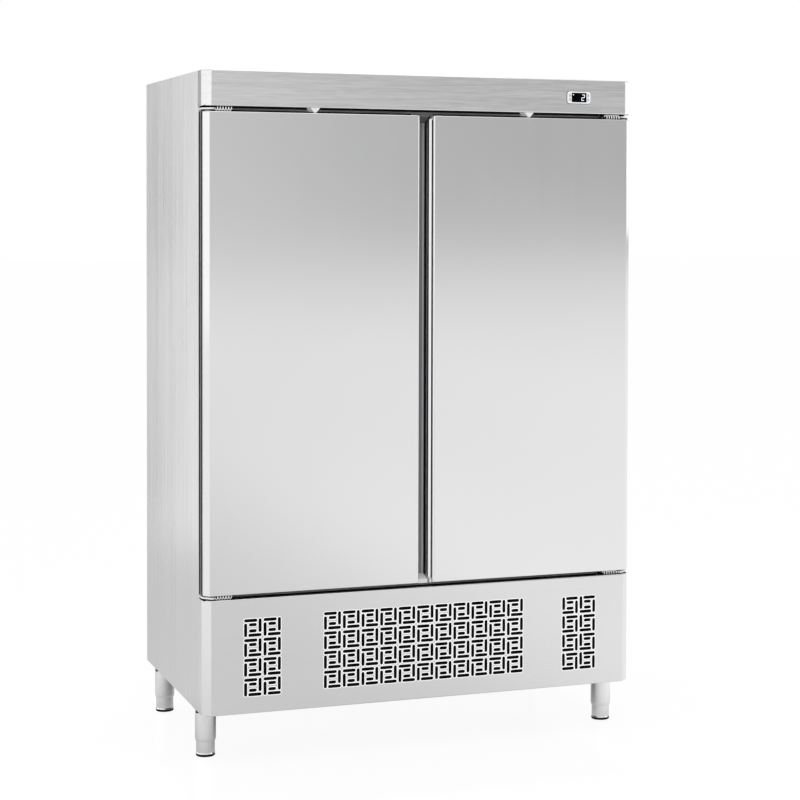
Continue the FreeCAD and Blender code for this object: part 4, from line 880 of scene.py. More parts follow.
class CABINET_OT_grips(bpy.types.Operator):
    """Full-height grip profiles of the doors: rounded nose, sealed groove, deep floor or slanted flange"""

    bl_idname = "cabinet.grips"
    bl_label = "Grip profiles"

    def execute(self, context):
        sizes = context.scene.cabinet_sizes
        groove, wall_step, rear, least_floor = 0.0035, 0.0028, 0.040, 0.01
        flange_step, flange_rise = 0.0007, 0.0052
        nose_bend, bend, seal_end, seal_bend = sizes.nose - 0.0004, 0.0005, 0.013, 0.0002
        for name, side in SIDES.items():
            node, body = name + "_door_handle", name + "_door"
            low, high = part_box(node)
            tip = sizes.gap_shift * side + sizes.door_gap / 2
            lip = NOSE_STARTS[name]
            wall = lip - wall_step
            groove_end = sizes.lip_depth + groove
            back, floor = high.y - FRONT, sizes.grip_floor
            foot = [(wall, floor)]
            narrow = wall - tip < least_floor
            if narrow:
                foot = [(tip + flange_step, groove_end + flange_rise), (tip + flange_step, floor)]
            section = [(lip + sizes.nose, 0), (lip, 0), (lip, sizes.lip_depth),
                       (lip + groove, sizes.lip_depth), (lip + groove, groove_end), (wall, groove_end),
                       *foot, (tip, floor), (tip, back), (rear, back), (rear, sizes.door_sheet),
                       (lip + sizes.nose, sizes.door_sheet)]
            piece = new_prism(body + "_grip", mirrored(section, side), "Z", low.z, high.z)
            round_edges(piece, nose_bend, 6, test=lambda edge: abs(middle(edge).x - side * lip) < SAME
                        and abs(middle(edge).y - FRONT) < SAME)
            round_edges(piece, bend)
            complete(piece, body, "grip_metal", [node])
            heights = low.z + seal_end, high.z - seal_end
            strips = [self.edge_strip(tip, floor, back),
                      self.groove_strip(wall, lip + groove, sizes.lip_depth, groove_end)]
            if narrow:
                strips.append(self.flange_strip(tip, groove_end))
            else:
                self.insert(body, side, tip, wall, floor, heights)
            # The black strips are seals, and their black also stands for the shade in the narrow gap, groove
            # and flange: painted shade
            seals = joined(body + "_edge_seal",
                           [new_prism("strip", mirrored(strip, side), "Z", *heights) for strip in strips])
            finish_seal(seals, body, seal_bend)
        return {"FINISHED"}

    def edge_strip(self, tip, floor, back):
        """Section of the strip that wraps the edge of the floor."""
        thick, width, wrap, end = 0.0004, 0.0012, 0.0006, 0.001
        return [(tip, floor - thick), (tip + width, floor - thick), (tip + width, floor + thick),
                (tip, floor + thick), (tip, back - end), (tip - wrap, back - end),
                (tip - wrap, floor + thick)]

    def groove_strip(self, wall, groove_side, groove_start, groove_end):
        """Section of the black strip in the groove behind the nose, which also stands for the shade under the
        nose.
        """
        near, far, start, end = 0.0003, 0.0004, 0.0003, 0.0002
        return [(wall + near, groove_end + end), (groove_side - far, groove_end + end),
                (groove_side - far, groove_start + start), (wall + near, groove_start + start)]

    def flange_strip(self, tip, groove_end):
        """Section of the strip along the slanted flange."""
        near, far, start, end = 0.0001, 0.0009, 0.0060, 0.0150
        return [(tip + near, groove_end + start), (tip + far, groove_end + start),
                (tip + far, groove_end + end), (tip + near, groove_end + end)]

    def insert(self, body, side, tip, wall, floor, heights):
        """Dark plastic strip on the broad floor of the channel, with a paler bead along the gap: the strip's
        dark stands partly for the shade the lip casts, the bead's paler grey partly for the light nearer the
        gap.
        """
        bead_start, bead_end, clearance, sunk, bend = 0.0013, 0.0078, 0.0004, 0.0003, 0.0003
        for name, start, end, rise, look in (
                ("_grip_insert", tip + bead_end, wall - clearance, 0.0008, "insert_plastic"),
                ("_grip_bead", tip + bead_start, tip + bead_end, 0.0024, "bead_plastic")):
            section = [(start, floor + sunk), (start, floor - rise), (end, floor - rise), (end, floor + sunk)]
            piece = new_prism(body + name, mirrored(section, side), "Z", *heights)
            round_edges(piece, bend)
            complete(piece, body, look)


class CABINET_OT_grip_caps(bpy.types.Operator):
    """Sloped end pieces of the grip channel, with a shallow dish in each slope"""

    bl_idname = "cabinet.grip_caps"
    bl_label = "Grip end caps"

    def execute(self, context):
        back_height, dish_rim, dish_depth, front_bend, bend = 0.024, 0.0016, 0.0007, 0.0012, 0.0004
        for name in SIDES:
            node = name + "_door_caps"
            low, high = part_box(node)
            front, back = low.y - FRONT, high.y - FRONT
            # The top caps get a dark grey that stands for the shade under them: painted shade; the bottom
            # caps keep the pale plastic
            for end, up, height, where, look in ((low.z, 1, 0.012, "bottom", "cap_plastic"),
                                                 (high.z, -1, 0.004, "top", "dark_cap")):
                edge_z = end + up * height
                section = [(front, end), (front, edge_z), (back, end + up * back_height), (back, end)]
                cap = new_prism(name + "_door_cap_" + where, section, "X", low.x, high.x)
                choose(cap, "FACE", lambda face: face.normal.z * up > 0.5 and face.normal.y < -0.1)
                inset(dish_rim, -dish_depth)
                bpy.ops.object.mode_set(mode="OBJECT")
                round_edges(cap, front_bend, 3, test=lambda edge: abs(middle(edge).z - edge_z) < SAME)
                round_edges(cap, bend, angle=radians(40))
                complete(cap, name + "_door", look, [node])
        return {"FINISHED"}


class CABINET_OT_door_pans(bpy.types.Operator):
    """Moulded inner pans of the doors, with the raised middle and the bushes for the hinge pins"""

    bl_idname = "cabinet.door_pans"
    bl_label = "Door inner pans"

    def execute(self, context):
        front_depth, step, narrow_rim, broad_rim = 0.0262, 0.008, 0.012, 0.06
        step_bend, bend, margin = 0.0032, 0.002, 0.002
        hole_radius, hole_depth, overrun = 0.00612, 0.0245, 0.01
        for name, side in SIDES.items():
            node = name + "_door_liner"
            low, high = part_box(node)
            back = high.y - step
            piece = new_block(name + "_door_pan", (low.x, at_depth(front_depth), low.z),
                              (high.x, back, high.z))
            near, far = sorted((low.x, high.x), key=abs)
            for place, normal in (((near + side * narrow_rim, 0, 0), X_AXIS),
                                  ((far - side * broad_rim, 0, 0), X_AXIS),
                                  ((0, 0, low.z + broad_rim), Z_AXIS), ((0, 0, high.z - broad_rim), Z_AXIS)):
                choose(piece, "FACE", facing("y"))
                bpy.ops.mesh.bisect(plane_co=place, plane_no=normal)
            centre = Vector(((near + far + side * (narrow_rim - broad_rim)) / 2, back, (low.z + high.z) / 2))
            choose(piece, "FACE", lambda face: face.normal.y > SQUARE
                   and (centre_of(face) - centre).length < broad_rim)
            self.raise_middle(step)
            round_edges(piece, step_bend, 4, angle=radians(25), test=lambda edge: (
                middle(edge).y > back - HAIR and abs(middle(edge).x - near) > margin
                and abs(middle(edge).x - far) > margin
                and low.z + margin < middle(edge).z < high.z - margin))
            round_edges(piece, bend, 3, angle=radians(60))
            for end, up in ((low.z, 1), (high.z, -1)):
                start, stop = (hinge_point(side, end + up * reach) for reach in (-overrun, hole_depth))
                cut(piece, new_rod("pin_hole", start, stop, hole_radius, 32))
            complete(piece, name + "_door", "pan_plastic", [node])
        return {"FINISHED"}

    def raise_middle(self, step):
        """Raise the chosen middle of a pan, narrower at its top, and press a line round it."""
        top_share_x, top_share_z = 0.984, 0.993
        line_inset, line_width, line_depth = 0.05, 0.004, 0.0015
        bpy.ops.mesh.extrude_region_move(TRANSFORM_OT_translate={"value": Y_AXIS * step})
        bpy.ops.transform.resize(value=(top_share_x, 1, top_share_z))
        inset(line_inset)
        inset(line_width, -line_depth)
        bpy.ops.object.mode_set(mode="OBJECT")


class CABINET_OT_gaskets(bpy.types.Operator):
    """Soft gaskets of the doors: a mitred ring with a magnet bead and a folded side"""

    bl_idname = "cabinet.gaskets"
    bl_label = "Door gaskets"

    def execute(self, context):
        width, fold_shares, fold_depth = 0.022, (0.3, 0.62), 0.0022
        bead_rim, bead_depth, fold_margin, bend = 0.0035, 0.0008, 0.0004, 0.0006
        for name in SIDES:
            node = name + "_door_gasket"
            low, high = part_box(node)
            piece = new_block(name + "_door_seal", low, high)
            choose(piece, "FACE", lambda face: abs(face.normal.y) > SQUARE)
            inset(width)
            bpy.ops.mesh.bridge_edge_loops()
            bpy.ops.object.mode_set(mode="OBJECT")
            remove_faces(piece, lambda face: abs(face.normal.y) > SQUARE
                         and low.x + width < centre_of(face).x < high.x - width
                         and low.z + width < centre_of(face).z < high.z - width)
            folds = [low.y + (high.y - low.y) * share for share in fold_shares]
            for fold in folds:
                choose(piece, "FACE", lambda face: True)
                bpy.ops.mesh.bisect(plane_co=(0, fold, 0), plane_no=Y_AXIS)
            choose(piece, "FACE", lambda face: abs(face.normal.y) < 1 - SQUARE
                   and abs(centre_of(face).y - sum(folds) / 2) < fold_margin)
            bpy.ops.mesh.extrude_region_shrink_fatten(TRANSFORM_OT_shrink_fatten={"value": -fold_depth})
            choose(piece, "FACE", facing("y"))
            inset(bead_rim, -bead_depth)
            bpy.ops.object.mode_set(mode="OBJECT")
            round_edges(piece, bend)
            complete(piece, name + "_door", "gasket_rubber", [node])
        self.side_seals()
        return {"FINISHED"}

    def side_seals(self):
        """Black strips along the hinge edges of the doors: seals whose black also stands for the shade beside
        the doors.
        """
        outer, inner, front, bend = 0.6926, 0.6898, 0.0602, 0.0004
        low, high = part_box("left_door_skin")
        strips = []
        for side in SIDES.values():
            ends = sorted((side * outer, side * inner))
            strips.append(new_block("strip", (ends[0], at_depth(front), low.z),
                                    (ends[1], at_depth(SEAL_BACK), high.z)))
        finish_seal(joined("side_seals", strips), "cabinet", bend)


KEY_FLANGE = 0.0008
# Outlines of the marks on the keys, from their middles
KEYS = {
    "key_up": [(-0.0018, -0.001), (0.0018, -0.001), (0, 0.0016)],
    "key_down": [(-0.0018, 0.001), (0, -0.0016), (0.0018, 0.001)],
    "key_set": [(-0.0013, -0.0013), (0.0013, -0.0013), (0.0013, 0.0013), (-0.0013, 0.0013)],
    "key_defrost": [(-0.0012, -0.0004), (-0.0007, -0.0015), (0.0007, -0.0015), (0.0012, -0.0004),
                    (0, 0.0019)],
}
# Places of a digit's segments, in half widths and half heights, and whether they stand upright
SEGMENTS = {"a": (0, 1, False), "b": (1, 0.5, True), "c": (1, -0.5, True), "d": (0, -1, False),
            "e": (-1, -0.5, True), "f": (-1, 0.5, True), "g": (0, 0, False)}


class CABINET_OT_thermostat(bpy.types.Operator):
    """Thermostat on the fascia: bezel, dark window with a lit digit, and four keys"""

    bl_idname = "cabinet.thermostat"
    bl_label = "Thermostat"

    def execute(self, context):
        grow, corner, bend = Vector((0.0004, 0, 0.0009)), 0.002, 0.0003
        low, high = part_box("controller_display")
        low, high = low - grow, high + grow
        self.bezel(low, high)
        window = new_block("thermostat_window", low, high)
        round_edges(window, corner, 4, test=back_edge)
        round_edges(window, bend)
        complete(window, "cabinet", "display_window", ["controller_display"])
        self.digits(low.y - FRONT, (low + high) / 2)
        for name in KEYS:
            self.key(name)
        return {"FINISHED"}

    def bezel(self, window_low, window_high):
        """White frame with a soft rim, cut for the window and the keys."""
        corner, front_bend, edge_bend, overlap = 0.009, 0.0013, 0.00025, 0.0003
        window_corner, key_corner = 0.0021, 0.0022
        low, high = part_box("controller_bezel")

        def at_front(edge):
            return middle(edge).y < low.y + SAME

        bezel = new_block("thermostat_bezel", low, high)
        round_edges(bezel, corner, 8, test=back_edge)
        round_edges(bezel, front_bend, 4, test=at_front)
        key_side = Vector((KEY_FLANGE - overlap, 0, KEY_FLANGE - overlap))
        openings = [(window_low, window_high, window_corner)]
        for name in KEYS:
            key_low, key_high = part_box(name)
            openings.append((key_low + key_side, key_high - key_side, key_corner))
        for start, end, bend in openings:
            opening = new_block("opening", start - Y_AXIS * OVERRUN, end + Y_AXIS * OVERRUN)
            round_edges(opening, bend, 4, test=back_edge)
            cut(bezel, opening)
        round_edges(bezel, edge_bend, angle=radians(50), test=at_front)
        complete(bezel, "cabinet", "bezel_plastic", ["controller_bezel"])
        self.bezel_seal(low, high, corner)

    def bezel_seal(self, low, high, corner):
        """Thin black seal that shows round the bezel; its black also stands for the bezel's shadow on the
        fascia, painted shadow.
        """
        front, back, margin, more_corner, bend = -0.0009, 0.0002, 0.0012, 0.0011, 0.0003
        grow = Vector((margin, 0, margin))
        seal = new_block("thermostat_seal", Vector((low.x, at_depth(front), low.z)) - grow,
                         Vector((high.x, at_depth(back), high.z)) + grow)
        round_edges(seal, corner + more_corner, 8, test=back_edge)
        round_edges(seal, bend)
        cut(seal, new_block("hollow", Vector((low.x, FRONT - OVERRUN, low.z)) + grow * 2,
                            Vector((high.x, FRONT + OVERRUN, high.z)) - grow * 2))
        complete(seal, "cabinet", "gasket_rubber")

    def digits(self, front, centre):
        """One lit digit, the unlit segments beside it and a small lit star."""
        height, width, thick, slant, proud = 0.0190, 0.0104, 0.0018, 0.15, 0.00006
        end_share, pointed_share, lit_two = 0.55, 0.8, "abged"
        lit_x, unlit_x, star_x, star_z = 0.0139, -0.0005, -0.0192, 0.0086
        lit, dark = [], []
        for shift, on in ((lit_x, lit_two), (unlit_x, "")):
            for key, (across, up, upright) in SEGMENTS.items():
                length = (height if upright else 2 * width) / 2 - thick * end_share
                x, z = across * (width - thick) / 2, up * (height - thick) / 2
                outline = []
                for along, over in ((-1, 0), (-pointed_share, 1), (pointed_share, 1), (1, 0),
                                    (pointed_share, -1), (-pointed_share, -1)):
                    a, b = along * length / 2, over * thick / 2
                    px, pz = (x + b, z + a) if upright else (x + a, z + b)
                    outline.append((centre.x + shift + px + slant * pz, centre.z + pz))
                segment = new_prism("segment", outline, "Y", front - proud, front)
                (lit if key in on else dark).append(segment)
        star = self.star(centre.x + star_x, centre.z + star_z)
        lit.append(new_prism("star", star, "Y", front - proud, front))
        complete(joined("thermostat_digit", lit), "cabinet", "lit_segments")
        complete(joined("thermostat_unlit", dark), "cabinet", "dark_segments")

    def star(self, x, z):
        """Outline of a six-pointed star."""
        radius, inner_share = 0.0021, 0.6
        reaches = [radius * (1 if turn % 2 else inner_share) for turn in range(12)]
        return [(x + reach * cos(turn * pi / 6), z + reach * sin(turn * pi / 6))
                for turn, reach in enumerate(reaches)]

    def key(self, name):
        """Key with its flange and a raised mark."""
        flange_depth, mark_rise, corner, bend = 0.0012, 0.0003, 0.002, 0.0005
        low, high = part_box(name)
        rim = Vector((low.x, high.y - flange_depth, low.z))
        key = new_block(name + "_cap", rim, high)
        choose(key, "FACE", facing("y", -1))
        inset(KEY_FLANGE)
        bpy.ops.mesh.extrude_region_move(
            TRANSFORM_OT_translate={"value": Y_AXIS * (low.y + mark_rise - rim.y)})
        bpy.ops.object.mode_set(mode="OBJECT")
        round_edges(key, corner, 5, test=back_edge)
        round_edges(key, bend, 3, angle=radians(60),
                    test=lambda edge: middle(edge).y < low.y + mark_rise + HAIR)
        complete(key, name, "key_plastic", [name])
        centre = (low + high) / 2
        mark = new_prism(name + "_mark", [(centre.x + x, centre.z + z) for x, z in KEYS[name]], "Y",
                         low.y - FRONT, low.y - FRONT + mark_rise + HAIR)
        complete(mark, name, "symbol_ink")


class CABINET_OT_hinges(bpy.types.Operator):
    """Hinge brackets with their pins, bushes and return springs"""

    bl_idname = "cabinet.hinges"
    bl_label = "Hinges"

    def execute(self, context):
        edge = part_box("hinge_brackets")[1].x
        door_low, door_high = (corner.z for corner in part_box("left_door_skin"))
        washer = [(0.0063, 0.0), (0.0105, 0.0), (0.0105, 0.0018), (0.0085, 0.0034), (0.0063, 0.0034)]
        brackets, springs = [], []
        for name, side in SIDES.items():
            for upper in (False, True):
                brackets.append(self.bracket(side, upper, edge))
                springs.append(self.spring(side, upper))
            washers = [new_lathe("washer", washer, hinge_point(side, end), 32, Z_AXIS * up)
                       for end, up in ((door_low, -1), (door_high, 1))]
            complete(joined(name + "_door_washers", washers), name + "_door", "cap_plastic")
        complete(joined("hinge_plates", brackets), "cabinet", "bracket_steel", ["hinge_brackets"])
        complete(joined("hinge_springs", springs), "cabinet", "spring_zinc")
        self.seals()
        self.rivets()
        return {"FINISHED"}

    def heights(self, upper):
        """Height of the plate's face at the door, height of its far face, and the way between them."""
        near_gap, far_gap = (0.0055, 0.0105) if upper else (0.004, 0.009)
        door_low, door_high = (corner.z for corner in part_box("left_door_skin"))
        if upper:
            return door_high + near_gap, door_high + far_gap, 1
        return door_low - near_gap, door_low - far_gap, -1

    def bracket(self, side, upper, edge):
        """Plate with a cut corner, its leg behind the cover, two screws and the pin."""
        near, far, away = self.heights(upper)
        front, corner_in, corner_depth, arm_in, arm_back, leg_in = 0.003, 0.024, 0.027, 0.038, 0.036, 0.088
        leg_front, leg_back, leg_side, leg_start, leg_end = 0.058, 0.062, 0.005, 0.0005, 0.043
        pin_radius, pin_head, pin_reach, screw_rise, bend = 0.00597, 0.0006, 0.0298, 0.026, 0.0006
        arm_x, leg_x = CAD_HIGH.x - arm_in, CAD_HIGH.x - leg_in
        plan = [(edge, leg_back), (edge, corner_depth), (edge - corner_in, front), (arm_x, front),
                (arm_x, arm_back), (leg_x, arm_back), (leg_x, leg_back)]
        plate = new_prism("plate", mirrored(plan, side), "Z", min(near, far), max(near, far))
        across = sorted((side * (edge - leg_side), side * leg_x))
        rise = sorted((near + away * leg_start, near + away * leg_end))
        fuse(plate, new_block("leg", (across[0], at_depth(leg_front), rise[0]),
                              (across[1], at_depth(leg_back - HAIR), rise[1])))
        fuse(plate, new_rod("pin", hinge_point(side, far + away * pin_head),
                            hinge_point(side, near - away * pin_reach), pin_radius, 32))
        round_edges(plate, bend)
        head = [(0, -0.0024), (0.0026, -0.0024), (0.0038, -0.0016), (0.0042, 0), (0, 0)]
        screws = [new_lathe("screw", head, (side * (CAD_HIGH.x - inwards), at_depth(leg_front),
                                            near + away * screw_rise), 24, Y_AXIS)
                  for inwards in (0.022, 0.066)]
        return joined("bracket", [plate] + screws)

    def spring(self, side, upper):
        """Return spring that lies in front of the bracket's arm."""
        near, far, _ = self.heights(upper)
        height = (near + far) / 2
        turns, steps, inwards, length, depth = 6, 14, 0.090, 0.050, 0.0115
        radius, wire = (0.0052, 0.0016) if upper else (0.0044, 0.0014)
        points = []
        for step in range(turns * steps + 1):
            turn = 2 * pi * step / steps
            points.append((side * (CAD_HIGH.x - inwards + length * step / (turns * steps)),
                           at_depth(depth) + radius * cos(turn), height + radius * sin(turn)))
        return new_tube("spring", points, wire, sides=2)

    def seals(self):
        """Black strips of painted shade between the hinge plates and the covers, and behind the springs: dark
        sheets where the gaps are in shade.
        """
        bend, strips = 0.0003, []
        for side in SIDES.values():
            for upper in (False, True):
                near, far, away = self.heights(upper)
                for start, end, front, back, first, last in (
                        (0.0890, 0.0040, 0.0553, 0.0577, far + away * 0.0004, far + away * 0.0120),
                        (0.0905, 0.0395, 0.0225, 0.0245, near - away * 0.0022, far + away * 0.0035)):
                    ends = sorted((side * (CAD_HIGH.x - start), side * (CAD_HIGH.x - end)))
                    strips.append(new_block("strip", (ends[0], at_depth(front), min(first, last)),
                                            (ends[1], at_depth(back), max(first, last))))
        finish_seal(joined("hinge_seals", strips), "cabinet", bend)

    def rivets(self):
        """Dark rivets in the front edge and in the cut corner of each plate."""
        radius, sunk, proud, bend = 0.0016, 0.002, 0.0006, 0.0002
        rivets = []
        for side in SIDES.values():
            for upper in (False, True):
                near, far, _ = self.heights(upper)
                for inwards, depth, across in ((0.0345, 0.003, 0), (0.0185, 0.0135, side)):
                    place = Vector((side * (CAD_HIGH.x - inwards), at_depth(depth), (near + far) / 2))
                    out = Vector((across, -1, 0)).normalized()
                    rivets.append(new_rod("rivet", place - out * sunk, place + out * proud, radius, 12))
        heads = joined("hinge_rivets", rivets)
        round_edges(heads, bend)
        complete(heads, "cabinet", "dark_bolt")


class CABINET_OT_switch_tabs(bpy.types.Operator):
    """Tapered door switch tabs in the gap under the fascia"""

    bl_idname = "cabinet.switch_tabs"
    bl_label = "Door switch tabs"

    def execute(self, context):
        half_top, half_tip, bend = 0.015, 0.003, 0.0012
        low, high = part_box("door_contacts")
        fascia_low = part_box("fascia_panel")[0].z
        tabs = []
        for side in SIDES.values():
            x = side * (high.x - half_top)
            outline = [(x - half_tip, low.z), (x + half_tip, low.z), (x + half_top, fascia_low),
                       (x + half_top, high.z), (x - half_top, high.z), (x - half_top, fascia_low)]
            tab = new_prism("tab", outline, "Y", low.y - FRONT, high.y - FRONT)
            round_edges(tab, bend, 3)
            tabs.append(tab)
        complete(joined("switch_tabs", tabs), "cabinet", "tab_plastic", ["door_contacts"])
        return {"FINISHED"}


class CABINET_OT_legs(bpy.types.Operator):
    """Steel legs with tapered collars, and the feet that slide in them on rubber pads"""

    bl_idname = "cabinet.legs"
    bl_label = "Legs and feet"

    def execute(self, context):
        plate_thickness = 0.004
        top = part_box("leg_tubes")[1].z
        plate_low = top - plate_thickness
        tubes, axes = [], []
        for name in ("foot_front_left", "foot_front_right", "foot_rear_left", "foot_rear_right"):
            low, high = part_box(name)
            axis = Vector(((low.x + high.x) / 2, (low.y + high.y) / 2, 0))
            tubes.append(self.tube(axis, plate_low, top))
            axes.append(axis)
            self.pad(name, axis)
            self.cup(name, axis, high.z)
        complete(joined("legs", tubes), "cabinet", "leg_steel", ["leg_tubes"])
        self.bolts(axes, plate_low)
        return {"FINISHED"}

    def tube(self, axis, plate_low, top):
        """Leg tube with its collar, under a mounting plate."""
        outer, inner, half_plate, plate_corner = 0.0315, 0.0300, 0.036, 0.008
        bend, plate_bend = 0.0007, 0.0006
        section = [(outer, plate_low), (outer, 0.056), (0.0295, 0.046), (0.0283, 0.046), (0.0283, 0.055),
                   (inner, 0.057), (inner, plate_low)]
        tube = new_lathe("tube", section, axis, 64)
        round_edges(tube, bend, angle=radians(40))
        half = Vector((half_plate, half_plate, 0))
        plate = new_block("plate", axis - half + Z_AXIS * plate_low, axis + half + Z_AXIS * top)
        round_edges(plate, plate_corner, 6, test=lambda edge: reach_of(edge, "z") > (top - plate_low) / 2)
        round_edges(plate, plate_bend)
        return joined("leg", [tube, plate])

    def bolts(self, axes, plate_low):
        """Dark hexagon bolts that hold the leg plates; their black also stands for the small shadows where
        the legs meet the cabinet.
        """
        out, radius, height, sunk, bend = 0.0295, 0.0074, 0.0080, 0.0003, 0.0008
        bolts = []
        for axis in axes:
            away = out if axis.x > 0 else -out
            for x, y in ((away, -out), (-away, out)):
                place = axis + Vector((x, y, plate_low - height))
                bolt = new_rod("bolt", place, place + Z_AXIS * (height + sunk), radius, 6)
                round_edges(bolt, bend)
                bolts.append(bolt)
        complete(joined("leg_bolts", bolts), "cabinet", "dark_bolt")

    def pad(self, name, axis):
        """Rubber pad under a foot."""
        section = [(0, 0), (0.0272, 0), (0.0290, 0.0018), (0.0290, 0.0062), (0.0280, 0.0070), (0, 0.0070)]
        pad = new_lathe(name.replace("foot", "foot_pad"), section, axis, 64)
        round_edges(pad, FOOT_BEND)
        complete(pad, name, "pad_rubber", [name])

    def cup(self, name, axis, stem_top):
        """Cup of a foot with its threaded stem."""
        crest, root, thread_start, pitch, stem_end = 0.0080, 0.0071, 0.0145, 0.0025, 0.0074
        stem_margin, cup_radius = 0.020, 0.02
        section = [(0, 0.0070), (0.0280, 0.0070), (0.0293, 0.0078), (0.0293, 0.0084), (0.0278, 0.0118),
                   (0.0280, 0.0125), (0.0280, 0.094), (0.026, 0.094), (0.026, 0.013), (crest, 0.013)]
        for turn in range(int((stem_top - stem_margin) / pitch)):
            section += [(crest, thread_start + turn * pitch), (root, thread_start + (turn + 0.5) * pitch)]
        section += [(stem_end, stem_top), (0, stem_top)]
        cup = new_lathe(name.replace("foot", "foot_cup"), section, axis, 48)
        round_edges(cup, FOOT_BEND, angle=radians(40), test=lambda edge: max(
            (vertex.co - axis - Z_AXIS * vertex.co.z).length for vertex in edge.verts) > cup_radius)
        complete(cup, name, "leg_steel", [name])


class CABINET_OT_shelves(bpy.types.Operator):
    """Wire shelves: a bent frame, two cross wires and the long wires welded on top"""

    bl_idname = "cabinet.shelves"
    bl_label = "Wire shelves"

    def execute(self, context):
        frame_radius, wire_radius, bend, bend_steps = 0.004, 0.002, 0.014, 6
        weld, overhang, wire_bend = 0.0005, 0.002, 0.0008
        low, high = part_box("left_shelf_bottom")
        level = low.z + frame_radius
        left, right = low.x + frame_radius, high.x - frame_radius
        front, back = low.y + frame_radius, high.y - frame_radius
        loop = []
        for x, y, start in ((right - bend, back - bend, 0), (left + bend, back - bend, pi / 2),
                            (left + bend, front + bend, pi), (right - bend, front + bend, 3 * pi / 2)):
            for step in range(bend_steps + 1):
                turn = start + pi / 2 * step / bend_steps
                loop.append((x + bend * cos(turn), y + bend * sin(turn), level))
        parts = [new_tube("frame_wire", loop, frame_radius, closed=True)]
        for share in (1 / 3, 2 / 3):
            y = front + (back - front) * share
            parts.append(new_rod("cross_wire", (left, y, level), (right, y, level), frame_radius, 14))
        count = context.scene.cabinet_sizes.shelf_wires
        step = (right - left) / (count + 1)
        wire_z = level + frame_radius + wire_radius - weld
        wire = new_rod("long_wire", (left + step, front - overhang, wire_z),
                       (left + step, back + overhang, wire_z), wire_radius, 12)
        round_edges(wire, wire_bend)
        repeat(wire, count, (step, 0, 0))
        shelf = joined("shelf", parts + [wire])
        for name in SIDES:
            for height in ("bottom", "middle", "top"):
                node = name + "_shelf_" + height
                copy = moved_copy(shelf, node + "_wires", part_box(node)[0] - low)
                complete(copy, "cabinet", "wire_steel", [node])
        bpy.data.objects.remove(shelf)
        return {"FINISHED"}


class CABINET_OT_shelf_supports(bpy.types.Operator):
    """Uprights with their row of slots, which carry the shelf runners"""

    bl_idname = "cabinet.shelf_supports"
    bl_label = "Shelf uprights"

    def execute(self, context):
        half, thick, wall, front_depth, rear_depth = 0.012, 0.012, 0.0015, 0.160, 0.700
        slot_half, slot_height, slot_start, slot_pitch, slot_reach = 0.002, 0.014, 0.02, 0.025, 0.003
        ends, bend = 0.03, 0.0005
        low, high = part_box("shelf_uprights")
        section = [(-half, 0), (-half + wall, 0), (-half + wall, thick - wall), (half - wall, thick - wall),
                   (half - wall, 0), (half, 0), (half, thick), (-half, thick)]
        channel = new_prism("channel", section, "Z", low.z, high.z)
        channel.data.transform(Matrix.Translation(Y_AXIS * -FRONT))
        round_edges(channel, bend)
        first_z = low.z + slot_start
        slot = new_block("slot", (-slot_half, thick - slot_reach, first_z),
                         (slot_half, thick + slot_reach, first_z + slot_height))
        repeat(slot, int((high.z - low.z - ends) / slot_pitch), (0, 0, slot_pitch))
        cut(channel, slot)
        places = [(side * pi / 2, (side * high.x, at_depth(depth), 0))
                  for side in SIDES.values() for depth in (front_depth, rear_depth)]
        places += [(0, (0, low.y, 0)), (pi, (0, high.y, 0))]
        channels = [moved_copy(channel, "channel", place, Matrix.Rotation(turn, 4, "Z"))
                    for turn, place in places]
        bpy.data.objects.remove(channel)
        complete(joined("slotted_uprights", channels), "cabinet", "inner_steel", ["shelf_uprights"])
        return {"FINISHED"}


